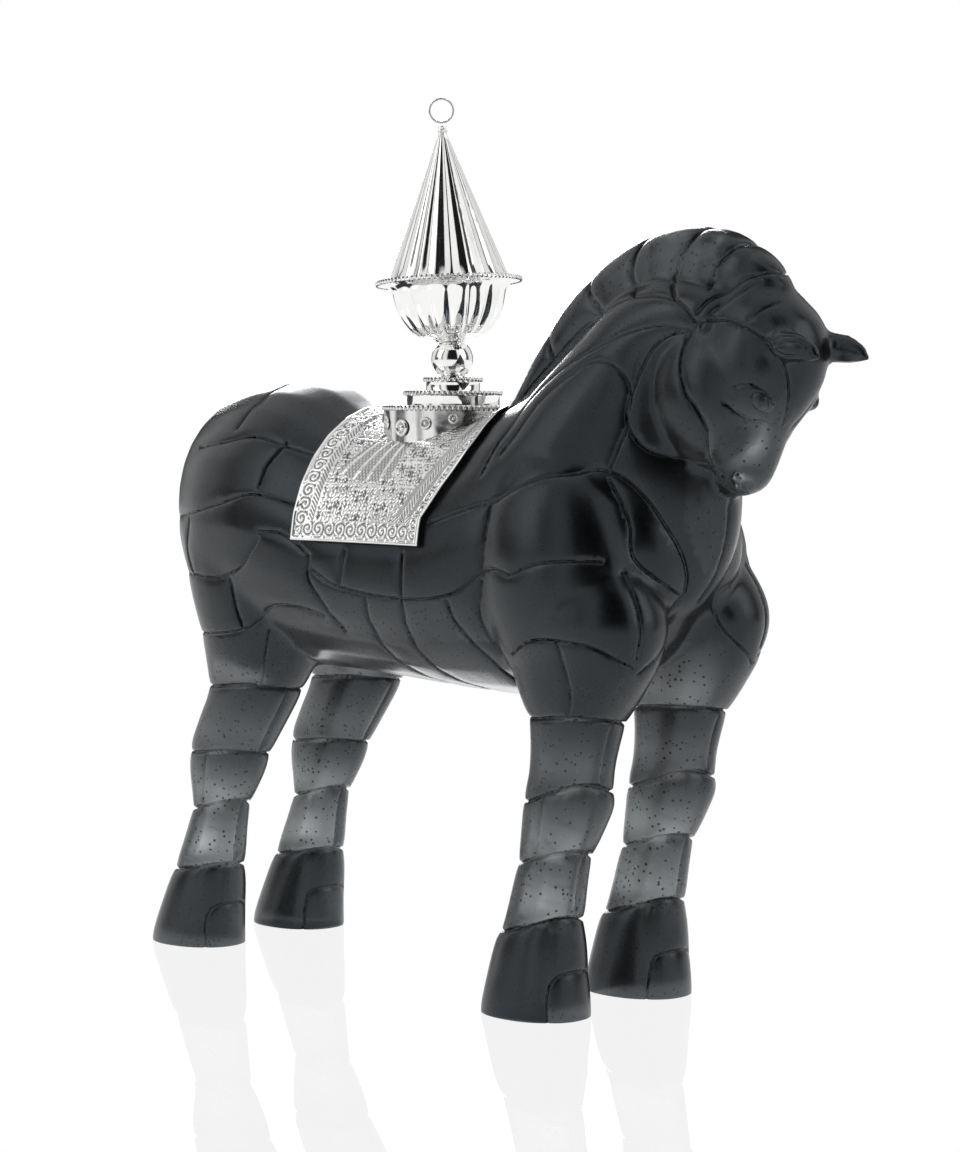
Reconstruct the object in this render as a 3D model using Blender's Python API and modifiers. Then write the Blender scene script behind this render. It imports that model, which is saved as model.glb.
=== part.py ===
"""Cast crystal horse that carries a silver saddle cloth and a covered silver cup.

The horse faces +X and stands on Z = 0. Free forms are given in hundredths of the
horse's height, U, and the silver pieces in metres.
"""
import math

import bmesh
import bpy
import numpy as np
from mathutils import Matrix, Vector
from mathutils.bvhtree import BVHTree
from mathutils.kdtree import KDTree

# The horse
HORSE_HEIGHT = 0.416  # ground to the top of the mane
U = HORSE_HEIGHT / 100
RING_POINTS = 28
FORM_VOXEL = 0.0022
SMOOTH_PASSES = 8
HORSE_TRIANGLES = 5300
GROOVE_DEPTH = 0.0017
GROOVE_HALF_WIDTH = 0.0021
PILLOW_DEPTH = 0.0013
PILLOW_REACH = 0.009

# The silver, each piece standing on the one below it
FIT_GAP = 0.0003
CUP_X = 8.27 * U  # the cup's axis, ahead of the middle of the hooves
CLOTH_GAP = 0.0016
CLOTH_WALL = 0.0016
CLOTH_REACH = 90  # degrees from the ridge down to each hem
CLOTH_COLUMNS, CLOTH_ROWS = 8, 20
CLOTH_AXIS = 60  # height of the line that the cloth is wrapped about, in U
CLOTH_REAR, CLOTH_REAR_SLANT = -5.2, 1.4  # rear edge at the ridge, and further ahead at the hem, in U
CLOTH_FRONT, CLOTH_FRONT_SLANT, CLOTH_FRONT_BULGE = 18.6, 2.0, 6.0
COLLAR_RADIUS = 9.5 * U
COLLAR_STEPS = 40
COLLAR_WALL = 0.0015
COLLAR_GAP = 0.0012
COLLAR_SKIRT = 0.001  # how far the wall's lower edge starts below the roof's underside
ROPE_RADIUS = 0.0012
ROPE_BULGE = 1.5  # the rope's width over its height
ROSETTE_RADII = (0.0050, 0.0036, 0.0030)  # the middle one of each side, and outwards
ROSETTE_STEP = 23  # degrees
ROSETTE_DROP = 0.0120  # below the rim in the middle of each side
ROSETTE_CLIMB = 0.0026  # less for each step away from it
ROSETTE_SIDES = 8
ROSETTE_PLATE, ROSETTE_BOSS = 0.0009, 0.0006  # thickness of the two layers
ROSETTE_SHARES = (1.0, 0.8, 0.45)  # radius at the wall, between the layers and in front
LOWER_STEP_RADIUS, LOWER_STEP_HEIGHT = 0.0264, 0.0080
UPPER_STEP_RADIUS, UPPER_STEP_HEIGHT = 0.0152, 0.0076
STEP_LIP, STEP_LIP_EDGE, STEP_LIP_DEPTH = 0.0014, 0.0010, 0.0022
STEP_REBATE = 0.0002
SEAT_RADIUS, SEAT_SKIRT, SEAT_HEIGHT = 0.0080, 0.0004, 0.0009
BALL_RADIUS, BALL_HEIGHT = 0.0118, 0.0190
LEAN = 3.5  # degrees that the ball, cup and ring lean towards the tail
BOWL_LOBES = 16
BOWL_HEIGHT = 0.0342
BOWL_WALL = 0.0012
BOWL_FOOT_RADIUS = 0.0086
BOWL_CURVE = [(0.58, 0.11), (0.78, 0.30), (0.93, 0.57), (1.0, 0.87)]  # shares of mouth and height
BOWL_MOUTH_RADIUS = 0.0324
BOWL_SHOULDER, BOWL_EASE = 0.0010, 0.0008  # at the mouth, outside and inside
RIM_RADIUS = 0.0415
RIM_WALL = 0.0011
LOBE_DEPTH = 0.0016
LID_FLUTES = 22
LID_RADIUS, LID_HEIGHT = 0.0340, 0.0850
LID_WALL = 0.0014
LID_SEAT = 0.0012
LID_NECK_SHARE = 0.05  # the cone's top over its foot
LID_HOLLOW = [(0.0, 0.88), (0.45, 0.46), (0.86, 0.0)]  # shares of radius and height
FLUTE_SHARE = 0.10  # flute depth as a share of the lid's radius there
TIP_RADIUS, TIP_HEIGHT = 0.0029, 0.0036
TIP_PROFILE = [(1.0, 0.28), (0.6, 0.61), (0.5, 1.0), (0.0, 1.0)]
RING_RADIUS, RING_WIRE = 0.0067, 0.0007

# Barrel stations: x, top, bottom, half width, egg. Egg above 0 makes the top the wider end.
BARREL = [
    (-42.0, 68.0, 61.0, 3.5, 0.0),
    (-40.8, 73.0, 55.5, 7.0, 0.0),
    (-36.2, 78.0, 47.6, 12.2, 0.0),
    (-28.0, 80.8, 42.6, 16.6, 0.0),
    (-20.0, 81.9, 41.2, 18.2, 0.0),
    (-13.0, 81.0, 41.0, 18.7, -0.04),
    (-6.5, 78.1, 41.0, 18.7, -0.08),
    (0.0, 76.0, 40.8, 18.4, -0.12),
    (8.3, 75.4, 40.4, 18.2, -0.14),
    (16.0, 75.8, 40.0, 18.2, -0.14),
    (22.0, 77.6, 39.8, 18.2, -0.12),
    (31.0, 81.2, 40.0, 17.6, -0.08),
    (40.0, 80.6, 42.6, 15.4, 0.0),
    (47.0, 77.0, 47.0, 11.0, 0.0),
    (51.5, 70.5, 53.5, 5.0, 0.0),
]
# Limb and neck stations: x, z, lean, half depth, half width, egg. Lean 0 is a slice that faces
# forward and 90 degrees one that faces up. Egg above 0 makes the back the wider end.
NECK = [
    (30.0, 58.0, 58, 19.0, 15.0, 0.30),
    (36.3, 63.5, 59, 19.4, 14.6, 0.34),
    (40.8, 68.2, 62, 17.9, 13.6, 0.34),
    (43.8, 74.3, 61, 15.6, 11.8, 0.30),
    (45.8, 80.6, 57, 11.8, 10.0, 0.20),
    (48.0, 85.8, 42, 8.8, 8.8, 0.10),
    (52.5, 88.5, 18, 6.6, 7.4, 0.0),
    (58.5, 87.8, -10, 5.2, 6.2, 0.0),
]
MANE = [
    (14.5, 70.5, 55, 2.4, 2.4, 0.0),
    (22.6, 75.8, 54, 3.2, 3.0, 0.0),
    (30.2, 84.6, 48, 3.9, 3.6, 0.0),
    (37.6, 90.8, 36, 4.5, 4.0, 0.0),
    (46.0, 94.8, 16, 4.9, 4.2, 0.0),
    (54.2, 95.4, -12, 5.0, 4.1, 0.0),
    (60.4, 93.6, -30, 4.1, 3.6, 0.0),
    (64.0, 92.0, -40, 2.7, 2.8, 0.0),
    (66.2, 91.3, -44, 0.8, 0.9, 0.0),
]
HEAD = [
    (61.6, 93.4, -90, 2.4, 2.2, 0.0),
    (62.0, 91.8, -90, 5.0, 4.2, 0.0),
    (62.7, 88.2, -90, 7.7, 6.0, 0.0),
    (62.8, 84.0, -90, 8.3, 6.2, 0.0),
    (62.6, 80.6, -90, 7.9, 5.7, 0.0),
    (61.9, 77.4, -90, 6.5, 4.8, 0.0),
    (61.0, 74.2, -90, 4.6, 3.8, 0.0),
    (60.2, 71.2, -90, 4.0, 3.5, 0.0),
    (59.3, 68.6, -90, 3.5, 3.1, 0.0),
    (58.9, 67.2, -90, 2.1, 2.0, 0.0),
    (58.8, 66.9, -90, 0.8, 0.8, 0.0),
]
FRONT_LEG_Y, HIND_LEG_Y = 9.9, 9.7
FRONT_LEG = [
    (33.9, -1.5, 90, 7.5, 6.3, 0.10),
    (34.0, 1.6, 90, 7.4, 6.3, 0.10),
    (34.5, 9.4, 90, 6.1, 5.3, 0.0),
    (35.2, 12.4, 90, 5.3, 4.7, 0.0),
    (36.8, 19.6, 90, 4.9, 4.3, 0.0),
    (38.6, 25.0, 90, 5.7, 4.9, 0.0),
    (39.4, 28.0, 90, 6.2, 5.2, 0.0),
    (39.9, 32.0, 90, 5.7, 4.8, 0.0),
    (40.8, 37.6, 90, 6.4, 5.4, 0.0),
    (41.4, 42.0, 90, 8.8, 6.4, 0.0),
    (42.0, 46.0, 90, 10.8, 7.0, 0.0),
    (42.4, 51.0, 90, 11.6, 7.8, 0.0),
    (41.2, 56.0, 90, 10.8, 6.8, 0.0),
    (38.6, 62.0, 90, 8.0, 4.6, 0.0),
]
HIND_LEG = [
    (-34.6, -1.5, 90, 7.3, 6.2, 0.10),
    (-34.5, 1.6, 90, 7.2, 6.1, 0.10),
    (-32.9, 9.4, 90, 5.8, 5.0, 0.0),
    (-32.0, 12.4, 90, 5.2, 4.5, 0.0),
    (-29.9, 19.8, 90, 4.4, 3.9, 0.0),
    (-28.4, 25.4, 90, 6.0, 4.7, 0.0),
    (-27.4, 29.0, 90, 6.8, 5.0, 0.0),
    (-24.6, 33.5, 90, 7.2, 5.3, 0.0),
    (-21.9, 38.0, 90, 7.6, 5.8, 0.0),
    (-20.4, 45.0, 90, 10.2, 6.8, 0.0),
    (-21.4, 53.0, 90, 12.0, 7.4, 0.0),
    (-23.0, 62.0, 90, 12.6, 6.8, 0.0),
    (-25.0, 70.0, 90, 9.0, 4.2, 0.0),
]
EAR_Y = 4.7
EAR = [
    (66.8, 85.8, -12, 0.8, 0.7, 0.0),
    (69.2, 85.4, -12, 1.8, 1.2, 0.0),
    (71.8, 84.9, -14, 1.9, 1.2, 0.0),
    (74.0, 84.3, -18, 1.2, 0.8, 0.0),
    (75.4, 83.7, -20, 0.25, 0.2, 0.0),
]
# Rounded masses on both sides: centre, radii, turn about Y
MASSES = [
    ((38.0, 10.0, 57.0), (12.5, 8.6, 17.0), -14),  # shoulder
    ((43.5, 4.4, 60.0), (10.3, 8.3, 12.0), 0),  # breast
    ((56.5, 3.4, 79.5), (8.6, 5.0, 9.0), 0),  # jaw
    ((62.0, 3.7, 82.4), (6.4, 3.4, 6.9), 0),  # cheek
    ((66.0, 4.3, 79.0), (1.9, 1.5, 1.5), 20),  # brow
]
TAIL = [
    (-36.0, 74.0, 190, 2.8, 3.0, 0.0),
    (-40.6, 71.4, 225, 3.2, 3.2, 0.0),
    (-43.0, 66.0, 258, 2.8, 3.0, 0.0),
    (-43.2, 59.0, 272, 2.4, 2.8, 0.0),
    (-42.4, 52.0, 280, 2.0, 2.4, 0.0),
    (-41.8, 47.5, 284, 1.4, 1.7, 0.0),
    (-41.6, 46.0, 286, 0.5, 0.6, 0.0),
]


# Carved lines on the near side, as points x, y, z that are set down on the skin. The far side
# mirrors them.
CARVED_LINES = {
    "croup": [(-30, 13, 72), (-23, 15, 73), (-16, 15, 74), (-10, 15, 73), (-5, 14, 72)],
    "croup_cross": [(-21, 14, 75), (-20.5, 8, 80), (-20, 0, 82)],
    "loin": [(-10, 14, 73), (-11.5, 16, 70), (-12, 18, 67)],
    "haunch": [(-36, 10, 62), (-28, 17, 63), (-20, 18, 64.5), (-13, 18, 66), (-5, 18, 65)],
    "stifle": [(-11, 19, 61), (-7, 19, 61), (-4, 19, 60), (-1, 18, 58)],
    "thigh_hook": [(-11, 19, 60), (-13, 19, 58), (-16, 18, 55.5), (-22, 17, 54), (-31, 13, 54.5)],
    "rump_end": [(-29, 16, 62), (-30, 15, 58), (-28, 16, 54)],
    "thigh_seam": [(-19, 17, 54), (-18, 17, 50), (-17, 16, 47)],
    "gaskin": [(-31, 11, 46), (-24, 16, 46), (-17, 16, 47), (-11, 17, 50), (-5, 17, 51), (1, 17, 50)],
    "gaskin_seam": [(-13, 15, 47), (-14, 15, 43), (-16, 14, 39)],
    "flank": [(-1, 18, 58), (-1, 18, 55), (1, 18, 52), (4, 16, 48)],
    "belly": [(0, 18, 56), (5, 18, 54), (17, 18, 53), (26, 18, 54), (32, 18, 57.5), (37, 19, 57)],
    "elbow": [(31, 17, 56), (30, 17, 51), (31, 14, 46)],
    "side_seam": [(6, 18, 59), (5, 18, 54)],
    "rib_seam": [(17, 18, 59), (17, 18, 53)],
    "rib_1": [(10, 18, 53), (10, 17, 49), (11, 13, 44), (13, 8, 41), (14, 0, 40)],
    "rib_2": [(17, 18, 53), (17, 16, 47), (18, 12, 43), (20, 7, 41), (21, 0, 40)],
    "rib_3": [(25, 18, 53), (26, 17, 50), (29, 13, 45), (30, 6, 41), (30, 0, 40)],
    "shoulder": [(32, 17, 66), (37, 16, 68), (42, 15, 70), (47, 11, 70), (51, 9, 67), (54, 6, 61),
                 (54, 4, 57), (52.5, 3, 55)],
    "wither": [(21, 17, 63), (26, 17, 64.5), (32, 17, 66)],
    "shoulder_back": [(32, 17, 66), (31.5, 17, 62), (31, 18, 57)],
    "collarbone": [(47, 11, 69), (49.5, 10, 64), (50.5, 10, 59), (52, 4, 55)],
    "upper_arm": [(37, 19, 57), (41, 18, 58.5), (45, 17, 59), (49, 14, 59)],
    "arm_front": [(51, 12, 58), (53, 12, 52), (53, 12, 47)],
    "forearm": [(35, 17, 46.5), (40, 17, 49), (46, 17, 49), (50, 16, 48), (52, 12, 46)],
    "forearm_seam": [(44, 17, 49), (45, 16, 43), (44, 15, 39.5)],
    "chest_edge": [(52.5, 3, 55), (51, 5, 51), (52, 9, 47), (52, 11, 45)],
    "breastbone": [(57.5, 0, 67), (57, 0, 62), (55, 0, 57), (52, 0, 54)],
    "mane_edge": [(23, 3, 78.5), (29, 3.5, 82), (34, 4.5, 86), (42, 7, 89), (49, 7, 91),
                  (54, 6, 91), (58, 6, 88)],
    "mane_cut_1": [(31, 4, 84), (29, 3, 86), (28.5, 0, 87.5)],
    "mane_cut_2": [(42, 6.5, 89), (38.5, 5, 92), (37.5, 0, 95.5)],
    "mane_cut_3": [(48, 7, 91), (45, 4.5, 96), (47, 0, 100)],
    "mane_cut_4": [(54, 6, 91), (52, 4.5, 95), (55.5, 0, 100)],
    "mane_cut_5": [(58, 5.5, 92), (58, 4, 95), (61, 0, 97)],
    "poll": [(56, 6, 89), (59, 5.5, 91), (62, 4, 93), (64.5, 0, 93.5)],
    "throat": [(57, 6, 88), (50, 8, 87), (44, 10, 83), (39, 11, 80), (35, 12, 76)],
    "jaw": [(56, 7, 87), (51.5, 8, 84), (49, 9, 79), (51, 9, 74), (54, 7, 72.5), (57, 5, 71)],
    "neck_seam": [(46, 10, 82), (48.5, 9, 79), (48, 10, 75), (47, 11, 70)],
    "neck_base": [(31, 16, 68), (33, 14, 72), (37, 12, 77)],
    "face_front": [(57, 7, 86), (62, 6, 88), (66, 6, 86.5), (69, 4, 82), (67.5, 2.5, 77), (65, 1.5, 73.5)],
    "face_back": [(56, 7, 86), (57, 8, 80), (60, 8, 77), (60, 6, 74), (59, 5, 71)],
    "mouth": [(58, 3.5, 70), (60, 3, 68.6), (62, 1.5, 68.2)],
}
# Rings round the legs: height, rise of the front over the back
FRONT_RINGS = [(39.0, 0.8), (29.3, 1.2), (20.6, 0.6), (12.0, 1.0)]
HIND_RINGS = [(38.6, 0.3), (28.6, 0.8), (20.4, 0.4), (11.6, 0.5)]
RING_REACH, RING_WAVE = 6.5, 0.4
# Seams down the legs, one from each ring to the next, in degrees from straight ahead and outwards
SEAM_TURNS = (-15, 125, 50)
TOE_PLATE = [(6.0, 4.6, 0.0), (6.2, 3.8, 4.6), (7.2, 1.5, 6.2), (7.2, -2.0, 6.2), (6.0, -4.4, 5.2),
             (5.4, -5.0, 0.0)]


def smooth_rows(rows, steps):
    """Points of a Catmull-Rom curve through the rows, with steps points for each span."""
    rows = np.array(rows, float)
    ends = np.vstack([2 * rows[0] - rows[1], rows, 2 * rows[-1] - rows[-2]])
    found = []
    for i in range(1, len(ends) - 2):
        before, start, end, after = ends[i - 1:i + 3]
        for k in range(steps):
            t = k / steps
            found.append(0.5 * (2 * start + (end - before) * t
                                + (2 * before - 5 * start + 4 * end - after) * t * t
                                + (3 * start - before - 3 * end + after) * t ** 3))
    return np.array(found + [rows[-1]])


def add_loft(bm, stations, y=0.0, steps=4, power=2.0):
    """Skins rings on the smoothed stations and closes both ends."""
    rings = []
    for x, z, lean, half_height, half_width, egg in smooth_rows(stations, steps):
        lean = math.radians(lean)
        up = Vector((-math.sin(lean), 0, math.cos(lean)))
        ring = []
        for k in range(RING_POINTS):
            turn = 2 * math.pi * k / RING_POINTS
            c, s = math.cos(turn), math.sin(turn)
            c = math.copysign(abs(c) ** (2 / power), c)
            s = math.copysign(abs(s) ** (2 / power), s)
            across = half_width * s * (1 + egg * c)
            point = Vector((x, y + across, z)) + up * half_height * c
            ring.append(bm.verts.new(point * U))
        rings.append(ring)
    for low, high in zip(rings, rings[1:]):
        for k in range(RING_POINTS):
            m = (k + 1) % RING_POINTS
            bm.faces.new((low[k], low[m], high[m], high[k]))
    bm.faces.new(rings[0][::-1])
    bm.faces.new(rings[-1])


def add_ball(bm, centre, radii, turn_deg):
    """An ellipsoid, turned about Y."""
    place = (Matrix.Translation(Vector(centre) * U)
             @ Matrix.Rotation(math.radians(turn_deg), 4, "Y")
             @ Matrix.Diagonal((*[r * U for r in radii], 1)))
    bmesh.ops.create_uvsphere(bm, u_segments=32, v_segments=20, radius=1, matrix=place)


def mesh_of(bm, name):
    bmesh.ops.recalc_face_normals(bm, faces=bm.faces)
    mesh = bpy.data.meshes.new(name)
    bm.to_mesh(mesh)
    bm.free()
    return mesh


def horse_form():
    """Every mass of the horse as closed shapes that overlap."""
    bm = bmesh.new()
    barrel = [(x, (top + low) / 2, 0, (top - low) / 2, width, egg) for x, top, low, width, egg in BARREL]
    add_loft(bm, barrel, power=2.1)
    add_loft(bm, NECK, power=2.1)
    add_loft(bm, MANE, power=2.5)
    add_loft(bm, HEAD, power=2.2)
    add_loft(bm, TAIL)
    for side in (-1, 1):
        add_loft(bm, FRONT_LEG, side * FRONT_LEG_Y, power=2.2)
        add_loft(bm, HIND_LEG, side * HIND_LEG_Y, power=2.2)
        add_loft(bm, EAR, side * EAR_Y)
        for (x, y, z), radii, turn in MASSES:
            add_ball(bm, (x, side * y, z), radii, turn)
    return mesh_of(bm, "horse_form")


def evaluated_copy(obj):
    """A plain mesh of the object as its modifiers leave it."""
    graph = bpy.context.evaluated_depsgraph_get()
    return bpy.data.meshes.new_from_object(obj.evaluated_get(graph), depsgraph=graph)


def with_modifier(mesh, kind, **values):
    """The mesh after one modifier."""
    obj = bpy.data.objects.new("shaped", mesh)
    bpy.context.scene.collection.objects.link(obj)
    modifier = obj.modifiers.new(kind.title(), kind)
    for name, value in values.items():
        setattr(modifier, name, value)
    made = evaluated_copy(obj)
    bpy.data.objects.remove(obj)
    return made


def fused_form():
    """One skin round all the masses, smoothed where they join."""
    skin = with_modifier(horse_form(), "REMESH", mode="VOXEL", voxel_size=FORM_VOXEL)
    return with_modifier(skin, "SMOOTH", factor=0.5, iterations=SMOOTH_PASSES)


def leg_centre(leg, z):
    rows = smooth_rows(leg, 4)
    return float(np.interp(z, rows[:, 1], rows[:, 0]))


def carved_paths():
    """Every carved line of the near side, in U."""
    for points in CARVED_LINES.values():
        yield smooth_rows(points, 24)
    for leg, rings, y in ((FRONT_LEG, FRONT_RINGS, FRONT_LEG_Y), (HIND_LEG, HIND_RINGS, HIND_LEG_Y)):
        def on_leg(turn, height, rise):
            z = height + rise * math.cos(turn) + RING_WAVE * math.cos(2 * turn)
            x = leg_centre(leg, z) + RING_REACH * math.cos(turn)
            return x, y + 0.85 * RING_REACH * math.sin(turn), z

        for height, rise in rings:
            yield np.array([on_leg(turn, height, rise) for turn in np.linspace(0, 2 * math.pi, 120)])
        for upper, lower, angle in zip(rings, rings[1:], SEAM_TURNS):
            turn = math.radians(angle)
            yield np.linspace(on_leg(turn, *upper), on_leg(turn, *lower), 40)
        hoof = leg_centre(leg, 3.0)
        yield smooth_rows([(hoof + x, y + out, z) for x, out, z in TOE_PLATE], 16)


def carve(mesh):
    """Cuts a groove along each carved line and rounds the plates between them."""
    bm = bmesh.new()
    bm.from_mesh(mesh)
    tree = BVHTree.FromBMesh(bm)
    marks = []
    for path in carved_paths():
        for x, y, z in path * U:
            for side in (-1, 1):
                marks.append(tree.find_nearest(Vector((x, side * y, z)))[0])
    lines = KDTree(len(marks))
    for i, mark in enumerate(marks):
        lines.insert(mark, i)
    lines.balance()
    bm.normal_update()
    moves = []
    for vert in bm.verts:
        near = lines.find(vert.co)[2]
        cut = GROOVE_DEPTH * math.exp(-(near / GROOVE_HALF_WIDTH) ** 2)
        moves.append(-vert.normal * (cut + PILLOW_DEPTH * math.exp(-near / PILLOW_REACH)))
    for vert, move in zip(bm.verts, moves):
        vert.co += move
    bm.to_mesh(mesh)
    bm.free()


def stand_flat(mesh):
    """Cuts the hooves off at the ground and closes them."""
    bm = bmesh.new()
    bm.from_mesh(mesh)
    cut = bmesh.ops.bisect_plane(bm, geom=bm.verts[:] + bm.edges[:] + bm.faces[:], dist=1e-6,
                                 plane_co=(0, 0, 0), plane_no=(0, 0, 1), clear_inner=True)
    edges = [e for e in cut["geom_cut"] if isinstance(e, bmesh.types.BMEdge)]
    bmesh.ops.holes_fill(bm, edges=edges, sides=0)
    bmesh.ops.dissolve_degenerate(bm, dist=1e-5, edges=bm.edges)
    bmesh.ops.triangulate(bm, faces=bm.faces)
    bm.to_mesh(mesh)
    bm.free()


def material(name, colour, roughness, metallic=0.0, transmission=0.0):
    made = bpy.data.materials.new(name)
    made.use_nodes = True
    shader = made.node_tree.nodes["Principled BSDF"]
    shader.inputs["Base Color"].default_value = (*colour, 1)
    shader.inputs["Roughness"].default_value = roughness
    shader.inputs["Metallic"].default_value = metallic
    shader.inputs["Transmission Weight"].default_value = transmission
    made.diffuse_color = (*colour, 1)
    return made


def add_part(parts, name, mesh, finish):
    mesh.name = name
    mesh.materials.clear()
    mesh.materials.append(finish)
    obj = bpy.data.objects.new(name, mesh)
    parts.objects.link(obj)
    return obj


def turned(profile, steps, rule=None):
    """Spins a profile of (radius, height) round the cup's axis, then moves points by the rule."""
    bm = bmesh.new()
    verts = [bm.verts.new((CUP_X + radius, 0, height)) for radius, height in profile]
    edges = [bm.edges.new(pair) for pair in zip(verts, verts[1:])]
    bmesh.ops.spin(bm, geom=verts + edges, cent=(CUP_X, 0, 0), axis=(0, 0, 1),
                   angle=2 * math.pi, steps=steps)
    bmesh.ops.remove_doubles(bm, verts=bm.verts, dist=1e-6)
    if rule:
        for vert in bm.verts:
            x, y = vert.co.x - CUP_X, vert.co.y
            radius, turn = math.hypot(x, y), math.atan2(y, x)
            radius, z = rule(radius, turn, vert.co.z)
            vert.co = (CUP_X + radius * math.cos(turn), radius * math.sin(turn), z)
    return mesh_of(bm, "turned")


def cloth_x(along, down):
    """Where a cloth point lies along the horse: along 0 is the rear hem, 1 the front, and
    down 0 is the ridge, 1 the lower hem."""
    rear = CLOTH_REAR + CLOTH_REAR_SLANT * down
    bulge = math.sin(math.pi * min(1.0, down * 1.15) ** 0.8)
    front = CLOTH_FRONT + CLOTH_FRONT_BULGE * bulge + CLOTH_FRONT_SLANT * down
    return rear + (front - rear) * along


def saddle_cloth(form):
    """The formed silver sheet, laid over the back a little off the skin."""
    bm = bmesh.new()
    bmesh.ops.create_grid(bm, x_segments=CLOTH_COLUMNS, y_segments=CLOTH_ROWS, size=1)
    for vert in bm.verts:
        along, side = (vert.co.x + 1) / 2, vert.co.y
        turn = math.radians(CLOTH_REACH * side)
        axis = Vector((cloth_x(along, abs(side)), 0, CLOTH_AXIS)) * U
        out = Vector((0, math.sin(turn), math.cos(turn)))
        hit = form.ray_cast(axis + out * HORSE_HEIGHT, -out)[0]
        vert.co = hit + out * CLOTH_GAP
    mesh = mesh_of(bm, "cloth")
    if mesh.polygons[len(mesh.polygons) // 2].normal.z < 0:
        mesh.flip_normals()
    return with_modifier(mesh, "SOLIDIFY", thickness=CLOTH_WALL, offset=1.0, use_even_offset=True)


def cloth_height(cloth, x, y):
    hit = cloth.ray_cast(Vector((x, y, 2 * HORSE_HEIGHT)), Vector((0, 0, -1)))[0]
    return hit.z if hit else -1


def saddle_collar(cloth):
    """The round drum that is scribed to the cloth below it, and its top's height."""
    reach = [COLLAR_RADIUS * k / 12 for k in range(13)]
    turns = [2 * math.pi * k / COLLAR_STEPS for k in range(COLLAR_STEPS)]
    highest = max(cloth_height(cloth, CUP_X + r * math.cos(t), r * math.sin(t))
                  for r in reach for t in turns)
    under = highest + 2 * COLLAR_GAP
    top = under + COLLAR_WALL
    foot = under - COLLAR_SKIRT
    inner = COLLAR_RADIUS - COLLAR_WALL
    rope = [(COLLAR_RADIUS - ROPE_RADIUS + ROPE_RADIUS * ROPE_BULGE * math.cos(a),
             top - ROPE_RADIUS + ROPE_RADIUS * math.sin(a))
            for a in (math.pi / 2, 0, -math.pi / 3)]
    profile = [(0, top), *rope, (COLLAR_RADIUS, foot), (inner, foot), (inner, under), (0, under)]

    def scribed(radius, turn, z):
        if abs(z - foot) < 1e-6:
            z = cloth_height(cloth, CUP_X + radius * math.cos(turn), radius * math.sin(turn)) + COLLAR_GAP
        return radius, z

    return turned(profile, COLLAR_STEPS, scribed), top


def rosette(radius, turn, z):
    """A low boss on the collar's wall."""
    bm = bmesh.new()
    out = Vector((math.cos(turn), math.sin(turn), 0))
    face = out.to_track_quat("Z", "Y").to_matrix().to_4x4()
    foot = Vector((CUP_X, 0, z)) + out * (COLLAR_RADIUS + FIT_GAP + radius ** 2 / COLLAR_RADIUS / 2)
    start = 0.0
    for depth, low, high in zip((ROSETTE_PLATE, ROSETTE_BOSS), ROSETTE_SHARES, ROSETTE_SHARES[1:]):
        place = Matrix.Translation(foot + out * (start + depth / 2)) @ face
        bmesh.ops.create_cone(bm, cap_ends=True, segments=ROSETTE_SIDES, radius1=radius * low,
                              radius2=radius * high, depth=depth, matrix=place)
        start += depth
    bmesh.ops.remove_doubles(bm, verts=bm.verts, dist=1e-6)
    inner = [f for f in bm.faces if len(f.verts) == ROSETTE_SIDES and
             abs((f.calc_center_median() - foot).length - ROSETTE_PLATE) < 1e-5]
    bmesh.ops.delete(bm, geom=inner, context="FACES_ONLY")
    return mesh_of(bm, "rosette")


def leaning(mesh, pivot_z):
    """Tips a piece towards the tail about the foot's seat."""
    pivot = Matrix.Translation((CUP_X, 0, pivot_z))
    mesh.transform(pivot @ Matrix.Rotation(math.radians(-LEAN), 4, "Y") @ pivot.inverted())
    return mesh


def stepped_foot(base):
    """Two round steps with overhanging lips, and a sloped seat for the ball."""
    low, high = LOWER_STEP_RADIUS, UPPER_STEP_RADIUS
    step = base + LOWER_STEP_HEIGHT
    top = step + UPPER_STEP_HEIGHT
    seat = top + SEAT_HEIGHT
    profile = [(0, seat), (SEAT_RADIUS, seat), (SEAT_RADIUS + SEAT_SKIRT, top)]
    for radius, upper, lower in ((high, top, step + STEP_REBATE), (low, step, base)):
        profile += [(radius + STEP_LIP * 0.6, upper), (radius + STEP_LIP, upper - STEP_LIP_EDGE),
                    (radius, upper - STEP_LIP_DEPTH), (radius, lower)]
    profile.append((0, base))

    def sloped(radius, turn, z):
        if abs(z - seat) < 1e-6:
            z += radius * math.cos(turn) * math.tan(math.radians(LEAN))
        return radius, z

    return turned(profile, 26, sloped), seat


def ball(base):
    flat = math.asin(BALL_HEIGHT / 2 / BALL_RADIUS)
    middle = base + BALL_HEIGHT / 2
    arc = [(BALL_RADIUS * math.cos(a), middle + BALL_RADIUS * math.sin(a))
           for a in np.linspace(flat, -flat, 6)]
    return turned([(0, base + BALL_HEIGHT), *arc, (0, base)], 16), base + BALL_HEIGHT


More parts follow.
